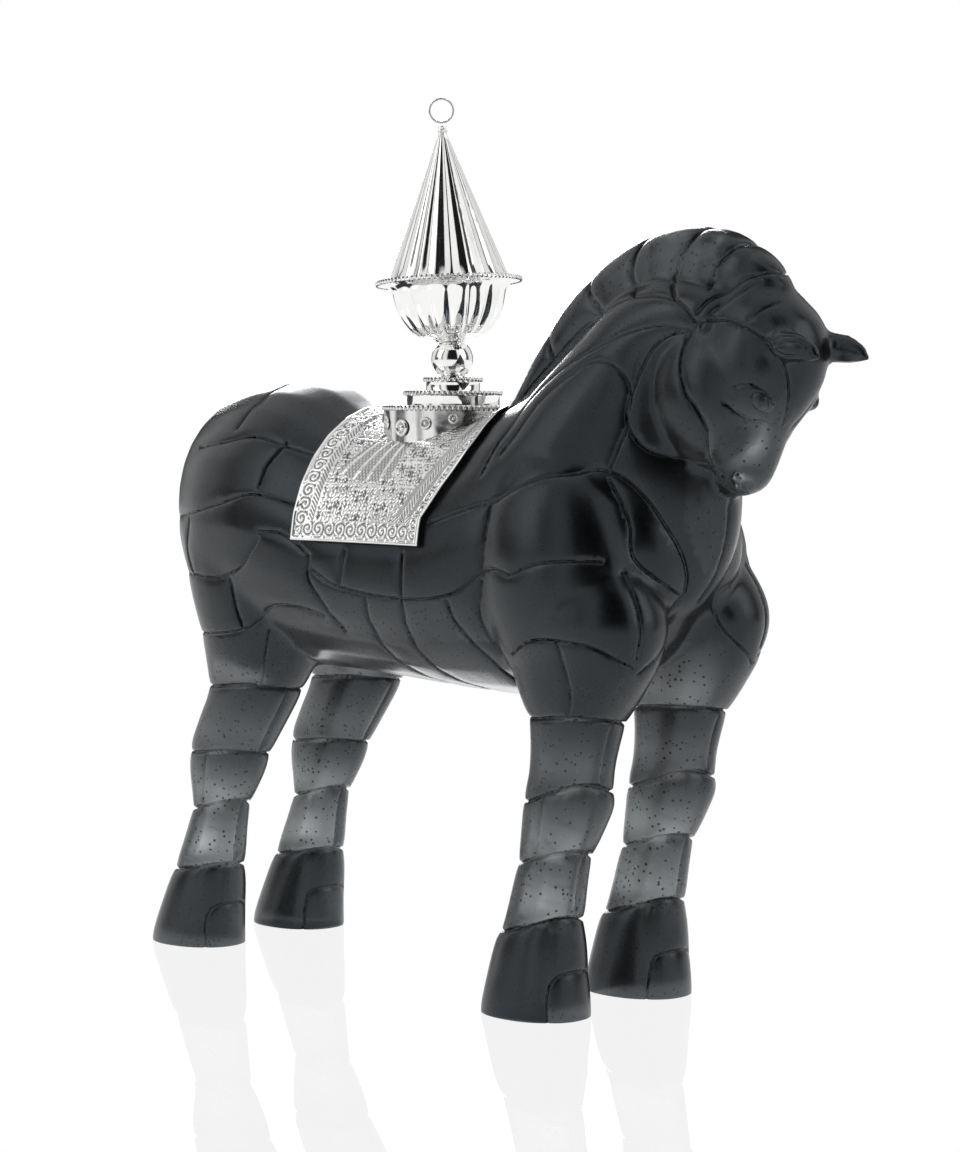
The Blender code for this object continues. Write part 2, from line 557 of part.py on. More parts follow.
def fluted_bowl(base):
    """The hollow lobed bowl with its wide flat rim."""
    rim = base + BOWL_HEIGHT
    curve = [(BOWL_MOUTH_RADIUS * wide, base + BOWL_HEIGHT * rise) for wide, rise in BOWL_CURVE]
    outer = [(0, base), (BOWL_FOOT_RADIUS, base), *curve,
             (BOWL_MOUTH_RADIUS + BOWL_SHOULDER, rim - RIM_WALL), (RIM_RADIUS, rim - RIM_WALL)]
    inner = [(RIM_RADIUS, rim), (BOWL_MOUTH_RADIUS - BOWL_WALL + BOWL_EASE, rim)]
    inner += [(r - BOWL_WALL - LOBE_DEPTH, z + BOWL_WALL) for r, z in curve[-2::-1]]
    inner.append((0, base + 2 * BOWL_WALL))

    def lobed(radius, turn, z):
        rise = (z - base) / BOWL_HEIGHT
        share = max(0.0, math.sin(math.pi * min(1.0, rise * 1.02)))
        if radius > BOWL_FOOT_RADIUS and any(abs(radius - r) < 1e-6 for r, _ in curve):
            radius -= LOBE_DEPTH * share * abs(math.cos(turn * BOWL_LOBES / 2)) ** 3
        return radius, z

    return turned((outer + inner)[::-1], BOWL_LOBES * 3, lobed), rim


def fluted_lid(base):
    """The tall hollow cone with hollow flutes and a small turned tip."""
    top = base + LID_HEIGHT
    wall = [(LID_RADIUS * (1 - (1 - LID_NECK_SHARE) * t), base + LID_SEAT + (LID_HEIGHT - LID_SEAT) * t)
            for t in (0.0, 0.5, 1.0)]
    tip = [(TIP_RADIUS * wide, top + TIP_HEIGHT * rise) for wide, rise in TIP_PROFILE]
    inner = [(LID_RADIUS * wide, base + LID_HEIGHT * rise) for wide, rise in LID_HOLLOW]
    inner[-1] = (inner[-1][0] - LID_WALL, base)
    profile = inner + [(LID_RADIUS, base)] + wall + tip

    def hollowed(radius, turn, z):
        if any(abs(radius - r) + abs(z - h) < 1e-6 for r, h in wall):
            radius *= 1 - FLUTE_SHARE * abs(math.cos(turn * LID_FLUTES / 2))
        return radius, z

    return turned(profile, LID_FLUTES * 2, hollowed), top + TIP_HEIGHT


def lid_ring(base):
    bpy.ops.mesh.primitive_torus_add(major_radius=RING_RADIUS, minor_radius=RING_WIRE,
                                     major_segments=20, minor_segments=5,
                                     location=(CUP_X, 0, base + RING_RADIUS + RING_WIRE),
                                     rotation=(math.pi / 2, 0, math.pi / 4))
    obj = bpy.context.object
    mesh = obj.data.copy()
    mesh.transform(obj.matrix_world)
    bpy.data.objects.remove(obj)
    return mesh


def clear_scene():
    for obj in list(bpy.data.objects):
        bpy.data.objects.remove(obj)


def main():
    clear_scene()
    parts = bpy.data.collections.new("crystal_horse_sculpture")
    bpy.context.scene.collection.children.link(parts)
    crystal = material("black_crystal", (0.03, 0.033, 0.036), 0.3, transmission=1.0)
    silver = material("polished_silver", (0.86, 0.86, 0.85), 0.12, metallic=1.0)

    form = fused_form()
    skin = bmesh.new()
    skin.from_mesh(form)
    form_tree = BVHTree.FromBMesh(skin)
    skin.free()
    cloth = add_part(parts, "saddle_cloth", saddle_cloth(form_tree), silver)
    cloth_tree = BVHTree.FromObject(cloth, bpy.context.evaluated_depsgraph_get())
    carve(form)
    share = HORSE_TRIANGLES / (2 * len(form.polygons))
    form = with_modifier(form, "DECIMATE", ratio=share)
    stand_flat(form)
    add_part(parts, "crystal_horse", form, crystal)

    collar, top = saddle_collar(cloth_tree)
    add_part(parts, "saddle_collar", collar, silver)
    count = 0
    for side in (-90, 90):
        for step in (-2, -1, 0, 1, 2):
            count += 1
            turn = math.radians(side + step * ROSETTE_STEP)
            radius = ROSETTE_RADII[abs(step)]
            drop = ROSETTE_DROP - ROSETTE_CLIMB * abs(step)
            add_part(parts, f"rosette_{count}", rosette(radius, turn, top - drop), silver)
    foot, top = stepped_foot(top + FIT_GAP)
    add_part(parts, "stepped_foot", foot, silver)
    pivot = top
    for name, make in (("ball", ball), ("fluted_bowl", fluted_bowl), ("fluted_lid", fluted_lid),
                       ("lid_ring", lid_ring)):
        made = make(top + FIT_GAP)
        mesh, top = made if isinstance(made, tuple) else (made, top)
        add_part(parts, name, leaning(mesh, pivot), silver)

    low = min(v.co.x for obj in parts.objects for v in obj.data.vertices)
    high = max(v.co.x for obj in parts.objects for v in obj.data.vertices)
    for obj in parts.objects:
        obj.data.transform(Matrix.Translation((-(low + high) / 2, 0, 0)))


main()
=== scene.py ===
"""Cast crystal horse with a chased silver saddle cloth and a covered silver cup.

The horse is made from the same stations as its solid, with finer carving, and each silver
piece stands where its solid does. Free forms are given in hundredths of the horse's height, U.
"""
import math

import bmesh
import bpy
import numpy as np
from mathutils import Matrix, Vector
from mathutils.bvhtree import BVHTree
from mathutils.kdtree import KDTree


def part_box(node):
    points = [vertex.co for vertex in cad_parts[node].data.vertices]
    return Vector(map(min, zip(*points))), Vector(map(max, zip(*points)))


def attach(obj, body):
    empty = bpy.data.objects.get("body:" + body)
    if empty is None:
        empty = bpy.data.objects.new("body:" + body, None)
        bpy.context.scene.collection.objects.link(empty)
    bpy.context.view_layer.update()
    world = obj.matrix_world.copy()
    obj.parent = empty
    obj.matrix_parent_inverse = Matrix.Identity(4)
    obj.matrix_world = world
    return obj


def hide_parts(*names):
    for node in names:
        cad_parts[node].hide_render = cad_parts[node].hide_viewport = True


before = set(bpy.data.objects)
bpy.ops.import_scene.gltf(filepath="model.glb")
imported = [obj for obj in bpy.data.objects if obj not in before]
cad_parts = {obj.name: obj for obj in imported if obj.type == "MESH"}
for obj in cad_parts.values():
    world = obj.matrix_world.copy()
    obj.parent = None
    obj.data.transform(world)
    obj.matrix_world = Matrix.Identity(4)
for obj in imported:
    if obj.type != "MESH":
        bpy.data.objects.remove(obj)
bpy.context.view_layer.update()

HORSE_HEIGHT = 0.416
U = HORSE_HEIGHT / 100
RING_POINTS = 28
FORM_VOXEL = 0.0022
SMOOTH_PASSES = 8
HORSE_TRIANGLES = 186000
BANDS = (0.0030, 0.0016)  # the skin is made finer this close to a carved line, twice
LINE_STEP = 0.0003
SNAP_REACH = 0.55 * BANDS[1] / 3  # a point this near a line is moved onto it
GROOVE_DEPTH = 0.0013
GROOVE_HALF_WIDTH = 0.0011
GROOVE_POWER = 1.2
PILLOW_DEPTH = 0.0009
PILLOW_REACH = 0.0034

# The cloth: where its turns are centred, its gap and wall, and the height of its relief
CLOTH_AXIS = 60
CLOTH_GAP = 0.0016
CLOTH_WALL = 0.0012
RELIEF = 0.0006
CLOTH_CELLS = (186, 428)
BACK_SHARE = 0.06  # the hidden back keeps this share of its faces
# Its pattern, in millimetres from an edge, and in radians for the fan
BORDER, FRONT_BORDER = 11.0, 7.5
RIM_WIRE = 0.9
SCROLL_PITCH = 8.4
FIELD_WIRES = 17
FAN_REACH, FAN_REAR, FAN_FRONT = 76, -0.42, 0.16
FAN_BARS = (-0.36, -0.22, -0.08, 0.06)
STRIPS_END, STRIP_PITCH = 24, 5.4
TWIST_START, TWIST_END, TWIST_WIRE = 11.8, 16.4, 17.3

# The cup and its collar
CUP_X = 8.27 * U
LEAN = math.radians(3.5)
FIT_GAP = 0.0003
COLLAR_RADIUS, COLLAR_WALL = 9.5 * U, 0.0015
COLLAR_SINK = 0.0006
BOSS_RADII = (0.0050, 0.0036, 0.0030)
BOSS_STEP = 23
BOSS_DROP, BOSS_RISE, BOSS_SINK = 0.0120, 0.0026, 0.0004
STEP_HEIGHT, BRIM_HEIGHT, SEAT_HEIGHT = 0.0080, 0.0156, 0.0009
BALL_HEIGHT, BALL_RADIUS = 0.0190, 0.0118
BOWL_HEIGHT, BOWL_WALL, LOBES = 0.0342, 0.0012, 16
LOBE_RISE, LOBE_GROOVE = 0.0004, 0.0017
LID_HEIGHT, KNOB_HEIGHT, FLUTES, FLUTE_DEPTH = 0.0850, 0.0036, 22, 0.035
LIFT_RADIUS, LIFT_WIRE = 0.0067, 0.0006

foot_low, foot_high = (Vector(corner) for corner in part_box("stepped_foot"))
AXIS_X = (foot_low.x + foot_high.x) / 2
SHIFT = AXIS_X - CUP_X

# Barrel stations: x, top, bottom, half width, egg. Egg above 0 makes the top the wider end.
BARREL = [
    (-42.0, 68.0, 61.0, 3.5, 0.0),
    (-40.8, 73.0, 55.5, 7.0, 0.0),
    (-36.2, 78.0, 47.6, 12.2, 0.0),
    (-28.0, 80.8, 42.6, 16.6, 0.0),
    (-20.0, 81.9, 41.2, 18.2, 0.0),
    (-13.0, 81.0, 41.0, 18.7, -0.04),
    (-6.5, 78.1, 41.0, 18.7, -0.08),
    (0.0, 76.0, 40.8, 18.4, -0.12),
    (8.3, 75.4, 40.4, 18.2, -0.14),
    (16.0, 75.8, 40.0, 18.2, -0.14),
    (22.0, 77.6, 39.8, 18.2, -0.12),
    (31.0, 81.2, 40.0, 17.6, -0.08),
    (40.0, 80.6, 42.6, 15.4, 0.0),
    (47.0, 77.0, 47.0, 11.0, 0.0),
    (51.5, 70.5, 53.5, 5.0, 0.0),
]
# Limb and neck stations: x, z, lean, half depth, half width, egg. Lean 0 is a slice that faces
# forward and 90 degrees one that faces up. Egg above 0 makes the back the wider end.
NECK = [
    (30.0, 58.0, 58, 19.0, 15.0, 0.30),
    (36.3, 63.5, 59, 19.4, 14.6, 0.34),
    (40.8, 68.2, 62, 17.9, 13.6, 0.34),
    (43.8, 74.3, 61, 15.6, 11.8, 0.30),
    (45.8, 80.6, 57, 11.8, 10.0, 0.20),
    (48.0, 85.8, 42, 8.8, 8.8, 0.10),
    (52.5, 88.5, 18, 6.6, 7.4, 0.0),
    (58.5, 87.8, -10, 5.2, 6.2, 0.0),
]
MANE = [
    (14.5, 70.5, 55, 2.4, 2.4, 0.0),
    (22.6, 75.8, 54, 3.2, 3.0, 0.0),
    (30.2, 84.6, 48, 3.9, 3.6, 0.0),
    (37.6, 90.8, 36, 4.5, 4.0, 0.0),
    (46.0, 94.8, 16, 4.9, 4.2, 0.0),
    (54.2, 95.4, -12, 5.0, 4.1, 0.0),
    (60.4, 93.6, -30, 4.1, 3.6, 0.0),
    (64.0, 92.0, -40, 2.7, 2.8, 0.0),
    (66.2, 91.3, -44, 0.8, 0.9, 0.0),
]
HEAD = [
    (61.6, 93.4, -90, 2.4, 2.2, 0.0),
    (62.0, 91.8, -90, 5.0, 4.2, 0.0),
    (62.7, 88.2, -90, 7.7, 6.0, 0.0),
    (62.8, 84.0, -90, 8.3, 6.2, 0.0),
    (62.6, 80.6, -90, 7.9, 5.7, 0.0),
    (61.9, 77.4, -90, 6.5, 4.8, 0.0),
    (61.0, 74.2, -90, 4.6, 3.8, 0.0),
    (60.2, 71.2, -90, 4.0, 3.5, 0.0),
    (59.3, 68.6, -90, 3.5, 3.1, 0.0),
    (58.9, 67.2, -90, 2.1, 2.0, 0.0),
    (58.8, 66.9, -90, 0.8, 0.8, 0.0),
]
FRONT_LEG_Y, HIND_LEG_Y = 9.9, 9.7
FRONT_LEG = [
    (33.9, -1.5, 90, 7.5, 6.3, 0.10),
    (34.0, 1.6, 90, 7.4, 6.3, 0.10),
    (34.5, 9.4, 90, 6.1, 5.3, 0.0),
    (35.2, 12.4, 90, 5.3, 4.7, 0.0),
    (36.8, 19.6, 90, 4.9, 4.3, 0.0),
    (38.6, 25.0, 90, 5.7, 4.9, 0.0),
    (39.4, 28.0, 90, 6.2, 5.2, 0.0),
    (39.9, 32.0, 90, 5.7, 4.8, 0.0),
    (40.8, 37.6, 90, 6.4, 5.4, 0.0),
    (41.4, 42.0, 90, 8.8, 6.4, 0.0),
    (42.0, 46.0, 90, 10.8, 7.0, 0.0),
    (42.4, 51.0, 90, 11.6, 7.8, 0.0),
    (41.2, 56.0, 90, 10.8, 6.8, 0.0),
    (38.6, 62.0, 90, 8.0, 4.6, 0.0),
]
HIND_LEG = [
    (-34.6, -1.5, 90, 7.3, 6.2, 0.10),
    (-34.5, 1.6, 90, 7.2, 6.1, 0.10),
    (-32.9, 9.4, 90, 5.8, 5.0, 0.0),
    (-32.0, 12.4, 90, 5.2, 4.5, 0.0),
    (-29.9, 19.8, 90, 4.4, 3.9, 0.0),
    (-28.4, 25.4, 90, 6.0, 4.7, 0.0),
    (-27.4, 29.0, 90, 6.8, 5.0, 0.0),
    (-24.6, 33.5, 90, 7.2, 5.3, 0.0),
    (-21.9, 38.0, 90, 7.6, 5.8, 0.0),
    (-20.4, 45.0, 90, 10.2, 6.8, 0.0),
    (-21.4, 53.0, 90, 12.0, 7.4, 0.0),
    (-23.0, 62.0, 90, 12.6, 6.8, 0.0),
    (-25.0, 70.0, 90, 9.0, 4.2, 0.0),
]
EAR_Y = 4.7
EAR = [
    (66.8, 85.8, -12, 0.8, 0.7, 0.0),
    (69.2, 85.4, -12, 1.8, 1.2, 0.0),
    (71.8, 84.9, -14, 1.9, 1.2, 0.0),
    (74.0, 84.3, -18, 1.2, 0.8, 0.0),
    (75.4, 83.7, -20, 0.25, 0.2, 0.0),
]
TAIL = [
    (-36.0, 74.0, 190, 2.8, 3.0, 0.0),
    (-40.6, 71.4, 225, 3.2, 3.2, 0.0),
    (-43.0, 66.0, 258, 2.8, 3.0, 0.0),
    (-43.2, 59.0, 272, 2.4, 2.8, 0.0),
    (-42.4, 52.0, 280, 2.0, 2.4, 0.0),
    (-41.8, 47.5, 284, 1.4, 1.7, 0.0),
    (-41.6, 46.0, 286, 0.5, 0.6, 0.0),
]
# Rounded masses on both sides: centre, radii, turn about Y
MASSES = [
    ((38.0, 10.0, 57.0), (12.5, 8.6, 17.0), -14),  # shoulder
    ((43.5, 4.4, 60.0), (10.3, 8.3, 12.0), 0),  # breast
    ((56.5, 3.4, 79.5), (8.6, 5.0, 9.0), 0),  # jaw
    ((62.0, 3.7, 82.4), (6.4, 3.4, 6.9), 0),  # cheek
    ((66.0, 4.3, 79.0), (1.9, 1.5, 1.5), 20),  # brow
    ((66.1, 5.0, 78.5), (1.2, 1.1, 1.2), 0),  # eyeball
]

# Carved lines on the near side, as points x, y, z that are set down on the skin. The far side
# mirrors them.
CARVED_LINES = {
    "croup": [(-30, 13, 72), (-23, 15, 73), (-16, 15, 74), (-10, 15, 73), (-5, 14, 72)],
    "croup_cross": [(-21, 14, 75), (-20.5, 8, 80), (-20, 0, 82)],
    "loin": [(-10, 14, 73), (-11.5, 16, 70), (-12, 18, 67)],
    "haunch": [(-36, 10, 62), (-28, 17, 63), (-20, 18, 64.5), (-13, 18, 66), (-5, 18, 65)],
    "stifle": [(-11, 19, 61), (-7, 19, 61), (-4, 19, 60), (-1, 18, 58)],
    "thigh_hook": [(-11, 19, 60), (-13, 19, 58), (-16, 18, 55.5), (-22, 17, 54), (-31, 13, 54.5)],
    "rump_end": [(-29, 16, 62), (-30, 15, 58), (-28, 16, 54)],
    "thigh_seam": [(-19, 17, 54), (-18, 17, 50), (-17, 16, 47)],
    "gaskin": [(-31, 11, 46), (-24, 16, 46), (-17, 16, 47), (-11, 17, 50), (-5, 17, 51),
               (1, 17, 50)],
    "gaskin_seam": [(-13, 15, 47), (-14, 15, 43), (-16, 14, 39)],
    "flank": [(-1, 18, 58), (-1, 18, 55), (1, 18, 52), (4, 16, 48)],
    "belly": [(0, 18, 56), (5, 18, 54), (17, 18, 53), (26, 18, 54), (32, 18, 57.5), (37, 19, 57)],
    "elbow": [(31, 17, 56), (30, 17, 51), (31, 14, 46)],
    "side_seam": [(6, 18, 59), (5, 18, 54)],
    "rib_seam": [(17, 18, 59), (17, 18, 53)],
    "rib_1": [(10, 18, 53), (10, 17, 49), (11, 13, 44), (13, 8, 41), (14, 0, 40)],
    "rib_2": [(17, 18, 53), (17, 16, 47), (18, 12, 43), (20, 7, 41), (21, 0, 40)],
    "rib_3": [(25, 18, 53), (26, 17, 50), (29, 13, 45), (30, 6, 41), (30, 0, 40)],
    "shoulder": [(32, 17, 66), (37, 16, 68), (42, 15, 70), (47, 11, 70), (51, 9, 67), (54, 6, 61),
                 (54, 4, 57), (52.5, 3, 55)],
    "wither": [(21, 17, 63), (26, 17, 64.5), (32, 17, 66)],
    "shoulder_back": [(32, 17, 66), (31.5, 17, 62), (31, 18, 57)],
    "collarbone": [(47, 11, 69), (49.5, 10, 64), (50.5, 10, 59), (52, 4, 55)],
    "upper_arm": [(37, 19, 57), (41, 18, 58.5), (45, 17, 59), (49, 14, 59)],
    "arm_front": [(51, 12, 58), (53, 12, 52), (53, 12, 47)],
    "forearm": [(35, 17, 46.5), (40, 17, 49), (46, 17, 49), (50, 16, 48), (52, 12, 46)],
    "forearm_seam": [(44, 17, 49), (45, 16, 43), (44, 15, 39.5)],
    "chest_edge": [(52.5, 3, 55), (51, 5, 51), (52, 9, 47), (52, 11, 45)],
    "breastbone": [(57.5, 0, 67), (57, 0, 62), (55, 0, 57), (52, 0, 54)],
    "mane_edge": [(24, 3, 79), (30.5, 3, 84), (35, 3.6, 87.4), (39.6, 4.4, 89.6), (46.8, 5.9, 91.4),
                  (53.4, 5.9, 91), (57, 5.8, 88.3)],
    "mane_cut_1": [(30.5, 3, 84), (29, 2.4, 86.5), (28.5, 0, 87.8)],
    "mane_cut_2": [(39.6, 4.4, 89.6), (37.6, 3.7, 91.4), (36.3, 3, 93.4), (36.2, 0, 95.2)],
    "mane_cut_3": [(46.8, 5.9, 91.4), (44.8, 4.4, 93.6), (44.4, 3.8, 95.5), (45.2, 2.6, 98),
                   (47, 0, 99.8)],
    "mane_cut_4": [(53.4, 5.9, 91), (51.8, 4.6, 93.6), (52.2, 3.6, 96), (53.9, 2.4, 98.4),
                   (55, 0, 99.8)],
    "mane_cut_5": [(57.4, 4.6, 93), (57.8, 3.4, 94.6), (59.2, 2.6, 96.3), (60.6, 0, 97.6)],
    "forelock": [(57, 5.8, 89.2), (58.5, 4.6, 91.2), (61.6, 3.2, 93.3), (64, 2.2, 94),
                 (65.5, 0, 94)],
    "throat": [(56.2, 6.2, 87.4), (52, 7.1, 88), (47.8, 8.3, 87.2), (44, 9.1, 85.7),
               (37, 9.4, 82.6), (32, 10.2, 78.4), (30, 13, 73.6), (29, 15.4, 69.3)],
    "throat_low": [(48.3, 8.6, 77), (48.6, 8.6, 80), (47.2, 9, 82.4), (44, 9.4, 83.7),
                   (40.4, 10, 82.4), (35.3, 11.2, 78.6), (31.1, 14.1, 71.8)],
    "jaw": [(56, 6.2, 87.4), (53, 6.8, 86.7), (51, 7.4, 85), (49.4, 7.9, 82), (48.3, 8.8, 78),
            (48.6, 9.1, 75.6), (50.5, 8.2, 72.9), (54, 5.8, 71.5), (57.6, 4.4, 71.1)],
    "neck_seam": [(48.5, 9, 75.5), (47.8, 10, 73), (47, 11, 70)],
    "face_front": [(57.1, 5.8, 88.2), (59.5, 5.4, 88.6), (62.2, 5.4, 88.2), (64.6, 5.4, 87.4),
                   (66.7, 5.2, 86.3), (68.4, 5, 84.6), (69, 3.6, 82.2), (68.6, 2.6, 79.8),
                   (67.6, 1.8, 77.6), (66.4, 1, 75.6)],
    "face_back": [(57.1, 5.8, 88.2), (56, 6.3, 86.6), (55.7, 7, 84.2), (56.2, 7.5, 81.8),
                  (57.2, 7.7, 79.4), (58.6, 7.5, 77.7), (59.6, 6.9, 75.2), (58.8, 5.6, 72.7),
                  (57.8, 3.6, 70.8)],
}
# Finer cuts: depth and half width as shares of a groove's, then the points
FINE_LINES = [
    (0.8, 0.9, [(63.7, 6.7, 80.5), (65.0, 6.3, 80.8), (66.4, 5.8, 80.4), (67.2, 5.0, 79.6),
                (67.4, 4.0, 78.3)]),
    (0.6, 0.9, [(62.3, 6.8, 78.5), (63.6, 5.9, 77.2), (64.5, 4.8, 76.4), (65.6, 3.1, 76.0)]),
    (0.7, 0.8, [(65.3, 5.9, 78.7), (65.7, 6.0, 79.5), (66.5, 5.7, 79.8), (67.1, 5.0, 79.3),
                (67.1, 4.5, 78.3), (66.4, 4.4, 77.5), (65.7, 4.9, 77.5), (65.3, 5.9, 78.7)]),
    (1.3, 1.1, [(61.2, 2.9, 69.8), (60.6, 3.1, 69.9), (60.0, 2.9, 69.2), (60.2, 2.3, 68.6)]),
    (0.9, 0.9, [(58.2, 4.6, 71.4), (57.6, 3.2, 70.0), (58.5, 2.7, 68.7), (59.6, 2.0, 67.9),
                (60.4, 0.8, 67.5)]),
    (0.5, 1.0, [(57.8, 6.0, 87.8), (59.5, 5.1, 90.0), (62.1, 3.8, 92.0), (64.2, 2.4, 93.3)]),
    (0.4, 1.0, [(63.8, 5.4, 87.6), (65.8, 4.6, 89.2), (67.2, 2.8, 90.4)]),
    (0.6, 0.9, [(68.6, 5.9, 84.6), (70.2, 5.9, 85.9), (72.2, 5.8, 85.9), (73.6, 5.4, 85.0),
                (72.0, 5.9, 84.0), (70.0, 6.0, 83.9), (68.6, 5.9, 84.6)]),
]
# How deep and wide the other lines are, as shares of a groove's
LINE_CUT, MANE_CUT, THROAT_CUT = (1.0, 1.0), (1.5, 1.3), (0.8, 1.0)
RING_CUT, SEAM_CUT, TOE_CUT = (1.7, 1.25), (0.9, 0.9), (1.0, 0.9)
LOFT_STEPS, LINE_STEPS, RING_STEPS, SEAM_STEPS = 4, 12, 120, 40
RING_REACH, RING_SIDE = 6.5, 0.85
# Rings round the legs: height, rise of the front over the back, arch towards the near side's front
FRONT_RINGS = [(39.0, -0.4, 0.55), (29.3, 1.0, 0.65), (20.6, 0.3, 0.5), (12.0, 1.0, 0.35)]
HIND_RINGS = [(38.6, 0.0, 0.4), (28.6, -0.1, 0.4), (20.4, 0.1, 0.3), (11.6, 0.3, 0.3)]
# Seams down the legs, one from each ring to the next, in degrees from straight ahead and outwards
SEAM_TURNS = (5, 88, 0)
TOE_PLATE = [(6.0, 4.6, 0.0), (5.8, 4.6, 3.0), (6.2, 4.0, 5.2), (7.0, 2.2, 6.2), (7.2, -2.0, 6.2),
             (6.0, -4.4, 5.2), (5.4, -5.0, 0.0)]
TOE_HEIGHT = 3.0
# How clear the glass is, from 0 to 1. Between two rings of a leg, from the top down, it is the
# first value at the upper ring and comes near the second further down.
BODY_CLEAR, HOOF_CLEAR = 0.008, 0.006
LEG_TOP = 48.0
LEG_CLEAR = [(0.04, 0.26), (0.02, 0.16), (0.05, 0.36), (0.12, 0.44)]


# Making and shaping

def pick(obj):
    """Makes the object the only one selected, and active."""
    bpy.ops.object.select_all(action="DESELECT")
    obj.select_set(True)
    bpy.context.view_layer.objects.active = obj


def new_object(name, data):
    """Puts a mesh, lamp or camera in the scene as an object."""
    obj = bpy.data.objects.new(name, data)
    bpy.context.scene.collection.objects.link(obj)
    return obj


def modify(obj, kind, **values):
    """Adds a modifier and applies it."""
    pick(obj)
    modifier = obj.modifiers.new(kind.title(), kind)
    for name, value in values.items():
        setattr(modifier, name, value)
    modifier.show_viewport = False
    bpy.ops.object.modifier_apply(modifier=modifier.name)


def settle(obj, angle=None):
    """Puts the object at the origin with its place in its mesh, and shades it smooth, except at
    edges sharper than the angle, if one is given."""
    pick(obj)
    bpy.ops.object.transform_apply(location=True, rotation=True, scale=True)
    if angle is None:
        bpy.ops.object.shade_smooth()
    else:
        bpy.ops.object.shade_smooth_by_angle(angle=math.radians(angle))


def finish_piece(obj, finish, slot, *nodes):
    """Gives the piece its material and its place in the frame."""
    obj.data.materials.clear()
    obj.data.materials.append(finish)
    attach(obj, "root")
    if nodes:
        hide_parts(*nodes)


def smooth_rows(rows, steps):
    """Points of a Catmull-Rom curve through the rows, with steps points for each span."""
    rows = np.array(rows, float)
    ends = np.vstack([2 * rows[0] - rows[1], rows, 2 * rows[-1] - rows[-2]])
    found = []
    for i in range(1, len(ends) - 2):
        before, start, end, after = ends[i - 1:i + 3]
        for k in range(steps):
            t = k / steps
            found.append(0.5 * (2 * start + (end - before) * t
                                + (2 * before - 5 * start + 4 * end - after) * t * t
                                + (3 * start - before - 3 * end + after) * t ** 3))
    return np.array(found + [rows[-1]])


# The horse

def add_loft(bm, stations, y=0.0, power=2.0):
    """Skins rings on the smoothed stations and closes both ends. Power 2 makes an ellipse, and
    more a squarer ring."""
    rings = []
    for x, z, lean, half_height, half_width, egg in smooth_rows(stations, LOFT_STEPS):
        lean = math.radians(lean)
        up = Vector((-math.sin(lean), 0, math.cos(lean)))
        ring = []
        for k in range(RING_POINTS):
            turn = 2 * math.pi * k / RING_POINTS
            c, s = math.cos(turn), math.sin(turn)
            c = math.copysign(abs(c) ** (2 / power), c)
            s = math.copysign(abs(s) ** (2 / power), s)
            point = Vector((x, y + half_width * s * (1 + egg * c), z)) + up * half_height * c
            ring.append(bm.verts.new(point * U))
        rings.append(ring)
    for low, high in zip(rings, rings[1:]):
        for k in range(RING_POINTS):
            m = (k + 1) % RING_POINTS
            bm.faces.new((low[k], low[m], high[m], high[k]))
    bm.faces.new(rings[0][::-1])
    bm.faces.new(rings[-1])


def add_ball(bm, centre, radii, turn_deg):
    """An ellipsoid, turned about Y."""
    place = (Matrix.Translation(Vector(centre) * U)
             @ Matrix.Rotation(math.radians(turn_deg), 4, "Y")
             @ Matrix.Diagonal((*[r * U for r in radii], 1)))
    bmesh.ops.create_uvsphere(bm, u_segments=32, v_segments=20, radius=1, matrix=place)


def horse_form():
    """Every mass of the horse, fused under one smooth skin."""
    bm = bmesh.new()
    barrel = [(x, (top + low) / 2, 0, (top - low) / 2, width, egg)
              for x, top, low, width, egg in BARREL]
    add_loft(bm, barrel, power=2.1)
    add_loft(bm, NECK, power=2.1)
    add_loft(bm, MANE, power=2.5)
    add_loft(bm, HEAD, power=2.2)
    add_loft(bm, TAIL)
    for side in (-1, 1):
        add_loft(bm, FRONT_LEG, side * FRONT_LEG_Y, power=2.2)
        add_loft(bm, HIND_LEG, side * HIND_LEG_Y, power=2.2)
        add_loft(bm, EAR, side * EAR_Y)
        for (x, y, z), radii, turn in MASSES:
            add_ball(bm, (x, side * y, z), radii, turn)
    bmesh.ops.recalc_face_normals(bm, faces=bm.faces)
    mesh = bpy.data.meshes.new("horse")
    bm.to_mesh(mesh)
    bm.free()
    horse = new_object("horse", mesh)
    modify(horse, "REMESH", mode="VOXEL", voxel_size=FORM_VOXEL)
    modify(horse, "SMOOTH", factor=0.5, iterations=SMOOTH_PASSES)
    return horse


def carved_paths(side):
    """Every carved line of one side, in U, with its depth and width."""
    for name, points in CARVED_LINES.items():
        cut = LINE_CUT
        if name.startswith("mane_cut"):
            cut = MANE_CUT
        elif name.startswith("throat"):
            cut = THROAT_CUT
        yield *cut, smooth_rows(points, LINE_STEPS)
    for depth, width, points in FINE_LINES:
        yield depth, width, smooth_rows(points, LINE_STEPS)
    yield from leg_paths(FRONT_LEG, FRONT_RINGS, FRONT_LEG_Y, side)
    yield from leg_paths(HIND_LEG, HIND_RINGS, HIND_LEG_Y, side)


